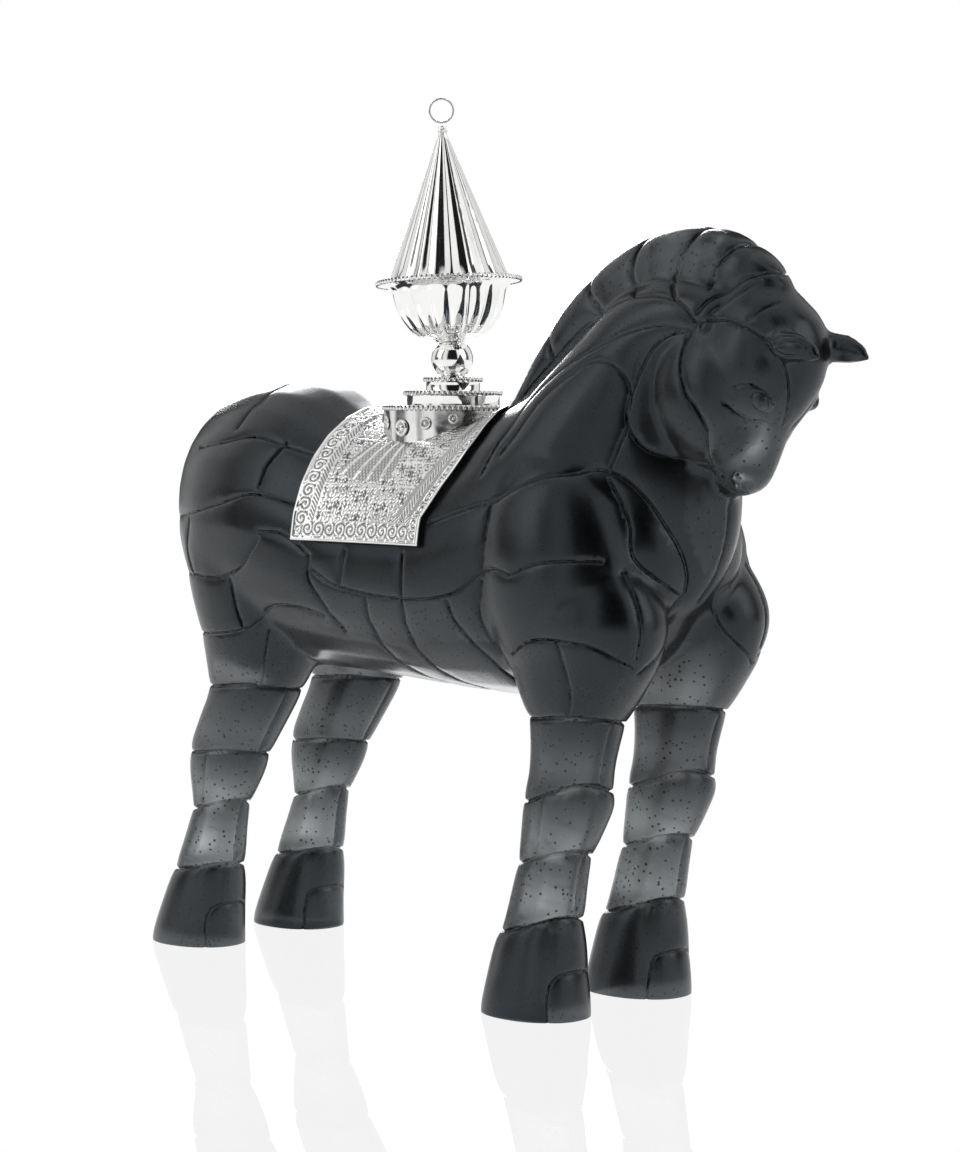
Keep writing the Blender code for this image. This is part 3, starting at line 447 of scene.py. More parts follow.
def leg_paths(leg, rings, y, side):
    """The rings, seams and toe plate of one leg."""
    middle = smooth_rows(leg, LOFT_STEPS)

    def on_leg(turn, height, rise, arch):
        z = height + rise * math.cos(turn) - side * arch * math.sin(2 * turn)
        x = np.interp(z, middle[:, 1], middle[:, 0]) + RING_REACH * math.cos(turn)
        return x, y + RING_SIDE * RING_REACH * math.sin(turn), z

    turns = np.linspace(0, 2 * math.pi, RING_STEPS)
    for ring in rings:
        yield *RING_CUT, np.array([on_leg(turn, *ring) for turn in turns])
    for upper, lower, angle in zip(rings, rings[1:], SEAM_TURNS):
        turn = math.radians(angle)
        yield *SEAM_CUT, np.linspace(on_leg(turn, *upper), on_leg(turn, *lower), SEAM_STEPS)
    hoof = np.interp(TOE_HEIGHT, middle[:, 1], middle[:, 0])
    plate = [(hoof + x, y + out, z) for x, out, z in TOE_PLATE]
    yield *TOE_CUT, smooth_rows(plate, LINE_STEPS)


def laid_down(path, tree, side):
    """A path set down on the skin, with its points evenly close together."""
    found = [tree.find_nearest(Vector((x, side * y, z)))[0] for x, y, z in path * U]
    row = np.array(found)
    for _ in range(3):
        row[1:-1] = (row[:-2] + 2 * row[1:-1] + row[2:]) / 4
    reach = np.concatenate([[0], np.cumsum(np.linalg.norm(np.diff(row, axis=0), axis=1))])
    places = np.linspace(0, reach[-1], max(2, int(reach[-1] / LINE_STEP)))
    return np.stack([np.interp(places, reach, row[:, k]) for k in range(3)], axis=1)


def carve(horse):
    """Makes the skin finer along the carved lines, then sinks them and rounds the plates."""
    smooth = horse.copy()
    smooth.data = horse.data.copy()
    bpy.context.scene.collection.objects.link(smooth)
    modify(smooth, "SUBSURF", levels=1, render_levels=1)
    tree = BVHTree.FromObject(smooth, bpy.context.evaluated_depsgraph_get())
    bpy.data.objects.remove(smooth)
    marks, cuts = [], []
    for side in (-1, 1):
        for depth, width, path in carved_paths(side):
            for point in laid_down(path, tree, side):
                marks.append(Vector(point))
                cuts.append((depth, width))
    lines = KDTree(len(marks))
    for i, mark in enumerate(marks):
        lines.insert(mark, i)
    lines.balance()
    bm = bmesh.new()
    bm.from_mesh(horse.data)
    for band in BANDS:
        near = {v for v in bm.verts if lines.find(v.co)[2] < band}
        edges = {e for f in bm.faces if all(v in near for v in f.verts) for e in f.edges}
        bmesh.ops.subdivide_edges(bm, edges=list(edges), cuts=1, use_grid_fill=True)
    for vert in bm.verts:
        vert.co = tree.find_nearest(vert.co)[0]
    fine = [v for v in bm.verts if lines.find(v.co)[2] < BANDS[0]]
    bmesh.ops.smooth_vert(bm, verts=fine, factor=0.5, use_axis_x=True, use_axis_y=True,
                          use_axis_z=True)
    bm.normal_update()
    moves = []
    for vert in bm.verts:
        mark, index, gap = lines.find(vert.co)
        depth, width = cuts[index]
        move = Vector()
        if gap < SNAP_REACH:
            move = mark - vert.co
            gap = 0.0
        vee = max(0.0, 1 - gap / (GROOVE_HALF_WIDTH * width)) ** GROOVE_POWER
        pillow = PILLOW_DEPTH * depth * math.exp(-gap / PILLOW_REACH)
        moves.append(move - vert.normal * (GROOVE_DEPTH * depth * vee + pillow))
    for vert, move in zip(bm.verts, moves):
        vert.co += move
    bm.to_mesh(horse.data)
    bm.free()


def clear_share(x, z):
    """How clear the glass is at a point in U, from 0, black, to 1."""
    if z <= LEG_TOP:
        return leg_share(FRONT_RINGS if x > 0 else HIND_RINGS, z)
    share = BODY_CLEAR
    if z < 54 and -6 < x < 33:  # belly
        share += 1.1 * min(1.0, (x + 6) / 8, (33 - x) / 5) * ((54 - z) / 13) ** 1.1
    if x > 55 and z < 79:  # muzzle
        share += 0.45 * min(1.0, (79 - z) / 6)
    if x < 58 and z > 83:  # mane
        share += 0.06 * min(1.0, (z - 83) / 14)
    if x > 58 and z > 85:  # poll
        share *= 0.7
    return min(1.0, share)


def leg_share(rings, z):
    """How clear a leg is at a height: black in the hoof, and clearest low between two rings."""
    if z < rings[-1][0]:
        return HOOF_CLEAR
    edges = [LEG_TOP] + [ring[0] for ring in rings]
    for upper, lower, (least, most) in zip(edges, edges[1:], LEG_CLEAR):
        if z >= lower:
            break
    down = (upper - z) / (upper - lower)
    share = least + (most - least) * math.sin(math.pi * min(1.0, down * 0.85) * 0.62) ** 2
    return share * min(1.0, 0.25 + 2.5 * (1 - down))


def mark_clear(horse):
    """Keeps each point's clearness as an attribute, for the glass to read."""
    places = [v.co / U for v in horse.data.vertices]
    attribute = horse.data.attributes.new("clear", "FLOAT", "POINT")
    attribute.data.foreach_set("value", [clear_share(place.x, place.z) for place in places])


def keep_normals(horse, source):
    """Shades the thinned skin as the full one was."""
    points = KDTree(len(source))
    for i, (place, _) in enumerate(source):
        points.insert(place, i)
    points.balance()
    normals = []
    for vert in horse.data.vertices:
        total = Vector()
        for _, index, gap in points.find_n(vert.co, 3):
            total += source[index][1] / (gap + 1e-6)
        normals.append(total.normalized())
    horse.data.normals_split_custom_set_from_vertices(normals)


def stand_flat(horse):
    """Cuts the hooves off at the ground and closes them."""
    pick(horse)
    bpy.ops.object.mode_set(mode="EDIT")
    bpy.ops.mesh.select_all(action="SELECT")
    bpy.ops.mesh.bisect(plane_co=(0, 0, 0), plane_no=(0, 0, 1), use_fill=True, clear_inner=True)
    bpy.ops.object.mode_set(mode="OBJECT")


# Silver

def turned(name, profile, steps):
    """Draws a profile of (radius, height) point by point and spins it round the cup's axis."""
    radius, height = profile[0]
    bpy.ops.object.select_all(action="DESELECT")
    bpy.ops.mesh.primitive_plane_add(size=0.001, location=(AXIS_X + radius, 0, height))
    obj = bpy.context.object
    obj.name = name
    bpy.ops.object.transform_apply(location=True, rotation=True, scale=True)
    bpy.ops.object.mode_set(mode="EDIT")
    bpy.ops.mesh.select_all(action="SELECT")
    bpy.ops.mesh.merge(type="CENTER")
    for (r0, z0), (r1, z1) in zip(profile, profile[1:]):
        bpy.ops.mesh.extrude_vertices_move(TRANSFORM_OT_translate={"value": (r1 - r0, 0, z1 - z0)})
    bpy.ops.mesh.select_all(action="SELECT")
    bpy.ops.mesh.spin(steps=steps, angle=2 * math.pi, center=(AXIS_X, 0, 0), axis=(0, 0, 1))
    bpy.ops.mesh.select_all(action="SELECT")
    bpy.ops.mesh.remove_doubles(threshold=2e-6)
    bpy.ops.mesh.normals_make_consistent(inside=False)
    bpy.ops.object.mode_set(mode="OBJECT")
    return obj


def reshape(obj, rule):
    """Moves each point by a rule of (radius, turn, height) round the cup's axis."""
    for vert in obj.data.vertices:
        x, y = vert.co.x - AXIS_X, vert.co.y
        radius, turn = math.hypot(x, y), math.atan2(y, x)
        radius, z = rule(radius, turn, vert.co.z)
        vert.co = (AXIS_X + radius * math.cos(turn), radius * math.sin(turn), z)


def mark_relief(obj, values):
    """Keeps how far each point stands out, for the oxidised silver to read."""
    attribute = obj.data.attributes.new("relief", "FLOAT", "POINT")
    attribute.data.foreach_set("value", values)


def round_profile(points, steps):
    """A profile smoothed through its points."""
    return [tuple(row) for row in smooth_rows(points, steps)]


def lean(obj, pivot_z):
    """Tips a piece towards the tail about the foot's seat."""
    pivot = Matrix.Translation((AXIS_X, 0, pivot_z))
    obj.data.transform(pivot @ Matrix.Rotation(-LEAN, 4, "Y") @ pivot.inverted())


def ring_of(name, make, count, radius, z):
    """Models one bead or rope turn and copies it round the cup's axis."""
    bpy.ops.object.select_all(action="DESELECT")
    one = make()
    pick(one)
    bpy.ops.object.transform_apply(location=True, rotation=True, scale=True)
    mesh = one.data
    bm = bmesh.new()
    for k in range(count):
        bm.from_mesh(mesh)
        new = bm.verts[-len(mesh.vertices):]
        place = (Matrix.Translation((AXIS_X, 0, z))
                 @ Matrix.Rotation(2 * math.pi * k / count, 4, "Z")
                 @ Matrix.Translation((radius, 0, 0)))
        bmesh.ops.transform(bm, matrix=place, verts=new)
    out = bpy.data.meshes.new(name)
    bm.to_mesh(out)
    bm.free()
    bpy.data.objects.remove(one)
    obj = new_object(name, out)
    settle(obj)
    return obj


def rope_turn(size, length):
    """One slanted strand of a rope edge, lying along Y, with its ends marked low, so the silver
    darkens them: partly oxidised crevices, partly painted shade where the turns touch.
    """
    def make():
        bpy.ops.mesh.primitive_uv_sphere_add(segments=10, ring_count=6, radius=1)
        obj = bpy.context.object
        # The ends are marked low for darkening: partly oxidised crevices, partly painted shade
        # between the touching turns.
        mark_relief(obj, [1.1 - 1.3 * abs(v.co.y) for v in obj.data.vertices])
        obj.scale = (size, length, size)
        obj.rotation_euler = (math.radians(48), 0, 0)
        return obj
    return make


def bead(size):
    """A plain round bead."""
    def make():
        bpy.ops.mesh.primitive_uv_sphere_add(segments=10, ring_count=7, radius=size)
        return bpy.context.object
    return make


def saddle_cloth(form):
    """The chased sheet over the back. Returns it with a search tree of its upper face."""
    columns, rows = CLOTH_CELLS
    bpy.ops.object.select_all(action="DESELECT")
    bpy.ops.mesh.primitive_grid_add(x_subdivisions=columns, y_subdivisions=rows, size=2)
    cloth = bpy.context.object
    cloth.name = "chased_cloth"
    count = len(cloth.data.vertices)
    flat = np.empty(count * 3)
    cloth.data.vertices.foreach_get("co", flat)
    flat = flat.reshape(-1, 3)
    points = np.empty((count, 3))
    for i, (x, y, _) in enumerate(flat):
        turn = math.radians(90 * y)
        axis = Vector((cloth_x((x + 1) / 2, abs(y)), 0, CLOTH_AXIS)) * U
        out = Vector((0, math.sin(turn), math.cos(turn)))
        hit = form.ray_cast(axis + out * HORSE_HEIGHT, -out)[0]
        points[i] = hit + out * (CLOTH_GAP + CLOTH_WALL)
    points[:, 0] += SHIFT
    cloth.data.vertices.foreach_set("co", points.ravel())
    cloth.data.update()
    relief = chasing(points.reshape(rows + 1, columns + 1, 3)).ravel()
    normals = np.empty(count * 3)
    cloth.data.vertices.foreach_get("normal", normals)
    normals = normals.reshape(-1, 3)
    if normals[count // 2, 2] < 0:
        cloth.data.flip_normals()
        normals = -normals
    points += normals * (relief * RELIEF)[:, None]
    cloth.data.vertices.foreach_set("co", points.ravel())
    mark_relief(cloth, relief)
    cloth.data.update()
    tree = BVHTree.FromObject(cloth, bpy.context.evaluated_depsgraph_get())
    modify(cloth, "SOLIDIFY", thickness=CLOTH_WALL, offset=-1.0)
    thin_back(cloth, count)
    settle(cloth, angle=60)
    return cloth, tree


def thin_back(sheet, front):
    """Gives the hidden back of a sheet, all points after its first front ones, few faces."""
    pick(sheet)
    bpy.ops.object.mode_set(mode="EDIT")
    bpy.ops.mesh.select_mode(type="VERT")
    bpy.ops.mesh.select_all(action="DESELECT")
    bpy.ops.object.mode_set(mode="OBJECT")
    behind = np.arange(len(sheet.data.vertices)) >= front
    sheet.data.vertices.foreach_set("select", behind)
    bpy.ops.object.mode_set(mode="EDIT")
    bpy.ops.mesh.decimate(ratio=BACK_SHARE)
    bpy.ops.object.mode_set(mode="OBJECT")


def cloth_x(along, down):
    """Where a cloth point lies along the horse, in U: along 0 is the rear edge, 1 the front,
    and down 0 is the ridge, 1 the lower hem."""
    rear = -5.2 + 1.4 * down
    front = 18.6 + 6.0 * math.sin(math.pi * min(1.0, down * 1.15) ** 0.8) + 2.0 * down
    return rear + (front - rear) * along


def bump_between(value, low, high):
    """A half-round from low to high, 0 outside."""
    t = np.clip((value - low) / (high - low) * 2 - 1, -1, 1)
    return np.sqrt(1 - t * t)


def wave(value, pitch, sharp=1.0):
    """Rounded ridges, one each pitch."""
    return (0.5 + 0.5 * np.cos(2 * np.pi * value / pitch)) ** sharp


def chasing(grid):
    """Relief of the cloth, from 0, the punched ground, to 1. Lengths here are in millimetres."""
    step_down = np.linalg.norm(np.diff(grid, axis=0), axis=2)
    down = np.vstack([np.zeros((1, grid.shape[1])), np.cumsum(step_down, axis=0)]) * 1000
    total = down[-1]
    hem = np.minimum(down, total - down)
    step_on = np.linalg.norm(np.diff(grid, axis=1), axis=2)
    on = np.hstack([np.zeros((grid.shape[0], 1)), np.cumsum(step_on, axis=1)]) * 1000
    rear, front = on, on[:, -1:] - on
    edge = np.minimum(hem, np.minimum(rear, front))
    by_front = front <= np.minimum(hem, rear)
    along = np.where(hem <= np.minimum(rear, front), on, down)
    border = np.where(by_front, FRONT_BORDER, BORDER)
    past_hem = hem > BORDER
    pi2 = 2 * np.pi

    # Inner field: a close arabesque with thin chased lines, and fine wires across it
    field = (np.sin(pi2 * (on / 5.2 + 0.34 * np.sin(pi2 * hem / 7.3)))
             + np.sin(pi2 * (hem / 5.0 + 0.34 * np.sin(pi2 * on / 6.1))))
    relief = np.clip(1.25 * np.abs(field), 0, 1) * 0.8
    relief = np.maximum(relief, bump_between(hem % FIELD_WIRES, 0, 1.3) * 0.85)

    # Below the collar, long bright bars that spread out, with crossed strokes between them
    ahead = (grid[:, :, 0] - AXIS_X) * 1000
    drop = total / 2 - hem
    angle = np.arctan2(ahead, drop)
    away = np.hypot(ahead, drop)
    fan = (away < FAN_REACH) & (angle > FAN_REAR) & (angle < FAN_FRONT)
    crossed = wave(on + hem * 0.6, 2.5) * wave(on - hem * 0.6, 2.5)
    relief = np.where(fan, 0.25 + 0.6 * crossed, relief)
    for bar in FAN_BARS:
        bright = bump_between((angle - bar) * away, -1.3, 1.3)
        relief = np.where(fan, np.maximum(relief, bright), relief)

    # Along the front, strips of slanted strokes that turn about at each wire
    strips = (front > border) & (front < STRIPS_END) & past_hem & ~fan
    strip = (front - FRONT_BORDER) / STRIP_PITCH
    slant = np.where(np.floor(strip) % 2 == 0, 1.0, -1.0)
    strokes = wave(hem + slant * (strip % 1) * 5.0, 2.3, 0.8) * 0.85
    strokes = np.maximum(strokes, bump_between(strip % 1, -0.10, 0.12) * 0.9)
    relief = np.where(strips, strokes, relief)

    # Inside the rear border, a twisted band
    twist = (rear > TWIST_START) & (rear < TWIST_END) & past_hem
    relief = np.where(twist, wave(down + rear * 1.1, 2.5, 0.8) * 0.95, relief)
    wire = (rear >= TWIST_END) & (rear < TWIST_WIRE) & past_hem
    relief = np.where(wire, 0.9, relief)

    # The border: a running row of scrolls, bright with thin dark lines, between wires
    inside = edge < border
    across = edge - (3.0 + border) / 2
    place = ((along / SCROLL_PITCH) % 1 - 0.5) * SCROLL_PITCH
    hand = np.where(np.floor(along / SCROLL_PITCH) % 2 == 0, 1.0, -1.0)
    reach = np.hypot(place, across)
    curl = np.cos(pi2 * reach / 2.7 + hand * np.arctan2(across, place))
    relief = np.where(inside, 0.15 + 0.8 * np.clip(0.75 + 1.2 * curl, 0, 1), relief)
    for low, high, level in ((0.0, 2.2, 1.0), (2.5, 3.4, 0.8)):
        within = (edge >= low) & (edge <= high)
        relief = np.where(within, bump_between(edge, low, high) * level, relief)
    rim = (edge >= border) & (edge < border + RIM_WIRE)
    return np.where(rim, 0.95, relief)


def collar(cloth_tree, top):
    """The drum, its wall cut to the cloth."""
    radius, wall = COLLAR_RADIUS, COLLAR_WALL
    profile = [(0, top), (radius * 0.72, top), (radius * 0.74, top + 0.0003), (radius * 0.76, top),
               (radius - 0.0003, top), (radius, top - 0.0003), (radius, top - 0.004),
               (radius, top - 0.008), (radius, 0), (radius - wall, 0), (radius - wall, top - 0.004),
               (radius - 0.004, top - wall), (0, top - wall)]
    obj = turned("collar", profile, 240)

    def cut(r, turn, z):
        if z < 1e-4:
            x, y = AXIS_X + r * math.cos(turn), r * math.sin(turn)
            hit = cloth_tree.ray_cast(Vector((x, y, 1)), Vector((0, 0, -1)))[0]
            z = hit.z - COLLAR_SINK
        return r, z

    reshape(obj, cut)
    settle(obj, angle=35)
    return obj


def boss(name, radius, turn, z):
    """A ring with a raised dot, its back against the collar's wall."""
    rise = radius ** 2 / COLLAR_RADIUS / 2 + BOSS_SINK
    profile = round_profile([(0, 0.34), (0.12, 0.34), (0.26, 0.27), (0.37, 0.12), (0.44, 0.09),
                             (0.54, 0.13), (0.62, 0.26), (0.74, 0.31), (0.86, 0.26), (0.97, 0.10),
                             (1.0, 0.0)], 3)
    obj = turned(name, [(r * radius, h * radius + rise) for r, h in profile] + [(radius, 0)], 40)
    mark_relief(obj, [(v.co.z - rise) / radius * 4 for v in obj.data.vertices])
    obj.data.transform(Matrix.Translation((-AXIS_X, 0, 0)))
    out = Vector((math.cos(turn), math.sin(turn), 0))
    face = out.to_track_quat("Z", "Y").to_matrix().to_4x4()
    place = Vector((AXIS_X, 0, z)) + out * (COLLAR_RADIUS - BOSS_SINK)
    obj.data.transform(Matrix.Translation(place) @ face)
    settle(obj)
    return obj


def stepped_foot(base, step, top, seat):
    """The two round steps, with the seat on top sloped as the cup leans."""
    profile = [(0, seat), (0.0074, seat), (0.0080, seat - 0.0003), (0.0082, top),
               (0.0156, top), (0.0163, top - 0.0006), (0.0163, top - 0.0014), (0.0154, top - 0.0020),
               (0.0152, top - 0.0026), (0.0152, step + 0.0010), (0.0156, step + 0.0003),
               (0.0166, step), (0.0268, step), (0.0275, step - 0.0006), (0.0275, step - 0.0014),
               (0.0266, step - 0.0020), (0.0264, step - 0.0026), (0.0264, base + 0.0006),
               (0.0268, base), (0, base)]
    obj = turned("stepped_foot_silver", profile, 160)

    def sloped(radius, turn, z):
        if z > top + 0.0002:
            z += radius * math.cos(turn) * math.tan(LEAN)
        return radius, z

    reshape(obj, sloped)
    settle(obj, angle=30)
    return obj


def cup_ball(base):
    """The ball, flat where it meets the foot and the bowl."""
    middle = base + BALL_HEIGHT / 2
    flat = math.asin(BALL_HEIGHT / 2 / BALL_RADIUS)
    arc = [(BALL_RADIUS * math.cos(turn), middle + BALL_RADIUS * math.sin(turn))
           for turn in np.linspace(-flat, flat, 28)]
    obj = turned("cup_ball", [(0, base), *arc, (0, base + BALL_HEIGHT)], 72)
    settle(obj, angle=50)
    return obj


def lobed_bowl(base):
    """The hollow lobed bowl with its flared lip."""
    outside = [(0.0084, 0.0), (0.0100, 0.05), (0.0150, 0.085), (0.0188, 0.115), (0.0228, 0.20),
               (0.0255, 0.30), (0.0281, 0.42), (0.0301, 0.57), (0.0314, 0.72), (0.0325, 0.85),
               (0.0348, 0.925), (0.0385, 0.955), (0.0412, 0.965)]
    outer = round_profile([(r, base + BOWL_HEIGHT * h) for r, h in outside], 4)
    inner = [(r - BOWL_WALL, z + BOWL_WALL) for r, z in outer if r < 0.0330 and z > base + 0.0022]
    rim = base + BOWL_HEIGHT
    profile = ([(0, base)] + outer + [(0.0415, rim - 0.0006), (0.0412, rim), (0.0345, rim - 0.0003)]
               + inner[::-1] + [(0.008, base + 0.0026), (0, base + 0.0024)])
    obj = turned("lobed_bowl", profile, LOBES * 16)

    def lobed(radius, turn, z):
        rise = min(1.0, max(0.0, (z - base) / BOWL_HEIGHT))
        if radius > 0.0075 and z > base + 1e-5:
            share = math.sin(math.pi * min(1.0, rise * 0.97 + 0.05)) ** 0.7
            groove = abs(math.cos(turn * LOBES / 2)) ** 5
            bulge = abs(math.sin(turn * LOBES / 2)) ** 0.8
            radius += share * (LOBE_RISE * bulge - LOBE_GROOVE * groove) * min(1.0, radius / 0.02)
        return radius, z

    reshape(obj, lobed)
    settle(obj, angle=60)
    return obj


def fluted_lid(base):
    """The tall hollow cone with its channels and small knob."""
    foot, neck, lip = 0.0340, 0.0017, 0.0012
    top = base + LID_HEIGHT
    wall = [(foot - (foot - neck) * t, base + lip + (LID_HEIGHT - lip) * t)
            for t in np.linspace(0, 1, 15)]
    inside = [(0, base + LID_HEIGHT * 0.88), (foot * 0.45, base + LID_HEIGHT * 0.46),
              (foot * 0.86 - 0.0014, base)]
    knob = round_profile([(0.0017, top + 0.0004), (0.0024, top + 0.0010), (0.0027, top + 0.0018),
                          (0.0022, top + 0.0027), (0.0012, top + 0.0033), (0, top + KNOB_HEIGHT)], 4)
    obj = turned("fluted_lid_silver", inside + [(foot, base)] + wall + knob, FLUTES * 14)

    def channelled(radius, turn, z):
        outside = radius > foot * 0.90 * (1 - (z - base) / LID_HEIGHT)
        if outside and base + 0.0006 < z < top + 0.0001:
            radius *= 1 - FLUTE_DEPTH * abs(math.cos(turn * FLUTES / 2)) ** 1.4
        return radius, z

    reshape(obj, channelled)
    settle(obj, angle=40)
    return obj


def wire_ring(base):
    """The lifting ring, standing upright."""
    bpy.ops.object.select_all(action="DESELECT")
    middle = (AXIS_X, 0, base + 0.0074)
    bpy.ops.mesh.primitive_torus_add(major_radius=LIFT_RADIUS, minor_radius=LIFT_WIRE,
                                     major_segments=96, minor_segments=14, location=middle,
                                     rotation=(math.pi / 2, 0, math.pi / 4))
    obj = bpy.context.object
    obj.name = "lifting_ring"
    mark_relief(obj, [0.5] * len(obj.data.vertices))
    settle(obj)
    return obj


# Finishes

class Nodes:
    """Short calls to place and join the nodes of a tree."""

    def __init__(self, tree):
        self.tree = tree

    def add(self, kind, inputs=None, **values):
        """A node with its settings, and its inputs set or joined."""
        node = self.tree.nodes.new(kind)
        for name, value in values.items():
            setattr(node, name, value)
        for name, value in (inputs or {}).items():
            if isinstance(value, bpy.types.NodeSocket):
                self.tree.links.new(value, node.inputs[name])
            else:
                node.inputs[name].default_value = value
        return node

    def span(self, value, start, end, low=0.0, high=1.0):
        """A value spread from start and end to low and high."""
        node = self.add("ShaderNodeMapRange", {"Value": value, "From Min": start, "From Max": end,
                                               "To Min": low, "To Max": high})
        return node.outputs["Result"]

    def noise(self, place, scale, detail):
        """Soft clouds over the object."""
        node = self.add("ShaderNodeTexNoise", {"Vector": place, "Scale": scale, "Detail": detail})
        return node.outputs["Fac"]

    def math(self, operation, a, b=0.0, clamp=False):
        """One sum of two values."""
        node = self.add("ShaderNodeMath", {0: a, 1: b}, operation=operation, use_clamp=clamp)
        return node.outputs[0]

    def mix(self, share, a, b):
        """A colour from a, at share 0, to b, at 1."""
        node = self.add("ShaderNodeMix", {0: share, 6: a, 7: b}, data_type="RGBA")
        return node.outputs[2]

    def ramp(self, value, stops):
        """A grey for each value, from straight lines between stops of (value, level)."""
        node = self.add("ShaderNodeValToRGB", {"Fac": value})
        marks = node.color_ramp.elements
        while len(marks) < len(stops):
            marks.new(0.5)
        for mark, (position, level) in zip(marks, stops):
            mark.position = position
            mark.color = (level, level, level, 1)
        return node.outputs["Color"]


def new_group(name, inputs, outputs):
    """A shader group with float inputs (name, value) and outputs (name, socket type)."""
    tree = bpy.data.node_groups.new(name, "ShaderNodeTree")
    for label, value in inputs:
        socket = tree.interface.new_socket(label, in_out="INPUT", socket_type="NodeSocketFloat")
        socket.default_value = value
    for label, kind in outputs:
        tree.interface.new_socket(label, in_out="OUTPUT", socket_type=kind)
    nodes = Nodes(tree)
    given, out = nodes.add("NodeGroupInput").outputs, nodes.add("NodeGroupOutput").inputs
    return tree, nodes, given, out


def bubble_group():
    """Small dark bubbles and fewer, finer bright seeds in the glass."""
    tree, n, given, out = new_group(
        "glass_seeds", [("Spacing", 240.0), ("Size", 0.2), ("Amount", 0.5)],
        [("Dark", "NodeSocketFloat"), ("Bright", "NodeSocketFloat")])
    place = n.add("ShaderNodeTexCoord").outputs["Object"]
    patches = n.noise(place, 22.0, 2.0)
    for label, finer, size, share in (("Dark", 1.0, 1.0, 1.0), ("Bright", 1.7, 0.62, 0.6)):
        scale = n.math("MULTIPLY", given["Spacing"], finer)
        cells = n.add("ShaderNodeTexVoronoi", {"Vector": place, "Scale": scale}).outputs
        reach = n.math("MULTIPLY", given["Size"], size)
        spot = n.math("LESS_THAN", cells["Distance"], reach)
        chance = n.add("ShaderNodeSeparateColor", {"Color": cells["Color"]}).outputs["Red"]
        limit = n.math("MULTIPLY", n.math("MULTIPLY", given["Amount"], share), patches)
        chosen = n.math("MULTIPLY", spot, n.math("LESS_THAN", chance, limit))
        n.tree.links.new(chosen, out[label])
    return tree


def wear_group():
    """Tarnish patches, hair scratches and the faint waviness of hand-worked silver."""
    tree, n, given, out = new_group(
        "silver_wear", [("Tarnish", 0.3), ("Scratches", 0.3), ("Dents", 0.3)],
        [("Dull", "NodeSocketFloat"), ("Height", "NodeSocketFloat")])
    place = n.add("ShaderNodeTexCoord").outputs["Object"]
    cloud = n.span(n.noise(place, 55.0, 5.0), 0.48, 0.72)
    long = n.add("ShaderNodeMapping", {"Vector": place, "Scale": (3.0, 3.0, 0.12)}).outputs[0]
    hair = n.span(n.noise(long, 900.0, 1.0), 0.60, 0.72)
    tarnished = n.math("MULTIPLY", cloud, given["Tarnish"])
    scratched = n.math("MULTIPLY", hair, given["Scratches"])
    waves = n.math("MULTIPLY", n.noise(place, 130.0, 1.0), given["Dents"])
    n.tree.links.new(n.math("ADD", tarnished, scratched, True), out["Dull"])
    n.tree.links.new(waves, out["Height"])
    return tree


def new_material(name):
    """A material with its node calls and its Principled shader."""
    made = bpy.data.materials.new(name)
    made.use_nodes = True
    return made, Nodes(made.node_tree), made.node_tree.nodes["Principled BSDF"]


def placed_group(nodes, tree, values):
    """A shader group in a material, with its own values."""
    node = nodes.add("ShaderNodeGroup", node_tree=tree)
    for label, value in values.items():
        node.inputs[label].default_value = value
    return node.outputs


def crystal(seeds):
    """Black crystal: see-through, darkened by smoke in its depth, and clearer by its attribute."""
    made, n, shader = new_material("black_crystal_glass")
    links = made.node_tree.links
    spots = placed_group(n, seeds, {"Spacing": 300.0, "Size": 0.24, "Amount": 1.5})
    place = n.add("ShaderNodeTexCoord").outputs["Object"]
    clear = n.add("ShaderNodeAttribute", attribute_name="clear").outputs["Fac"]
    cloud = n.span(n.noise(place, 26.0, 3.0), 0.3, 0.7, 0.75, 1.2)
    share = n.math("MULTIPLY", clear, cloud, True)
    tint = n.mix(share, (0.004, 0.0045, 0.005, 1), (0.80, 0.84, 0.86, 1))
    tint = n.mix(spots["Dark"], tint, (0.003, 0.003, 0.003, 1))
    flecks = n.math("MULTIPLY", spots["Bright"], n.math("MULTIPLY", share, 2.0, True))
    tint = n.mix(flecks, tint, (1, 1, 1, 1))
    links.new(tint, shader.inputs["Base Color"])
    links.new(n.span(cloud, 0.75, 1.2, 0.24, 0.32), shader.inputs["Roughness"])
    pits = n.math("SUBTRACT", spots["Bright"], spots["Dark"])
    bump = n.add("ShaderNodeBump", {"Height": pits, "Strength": 0.2, "Distance": 0.0003})
    links.new(bump.outputs[0], shader.inputs["Normal"])
    shader.inputs["Transmission Weight"].default_value = 1.0
    shader.inputs["IOR"].default_value = 1.5
    shader.inputs["Specular IOR Level"].default_value = 0.13
    shader.inputs["Specular Tint"].default_value = (0.80, 0.91, 1.0, 1)
    smoke = n.add("ShaderNodeVolumeAbsorption", {"Color": (0.0, 0.0, 0.0, 1), "Density": 9.0})
    links.new(smoke.outputs[0], made.node_tree.nodes["Material Output"].inputs["Volume"])
    return made


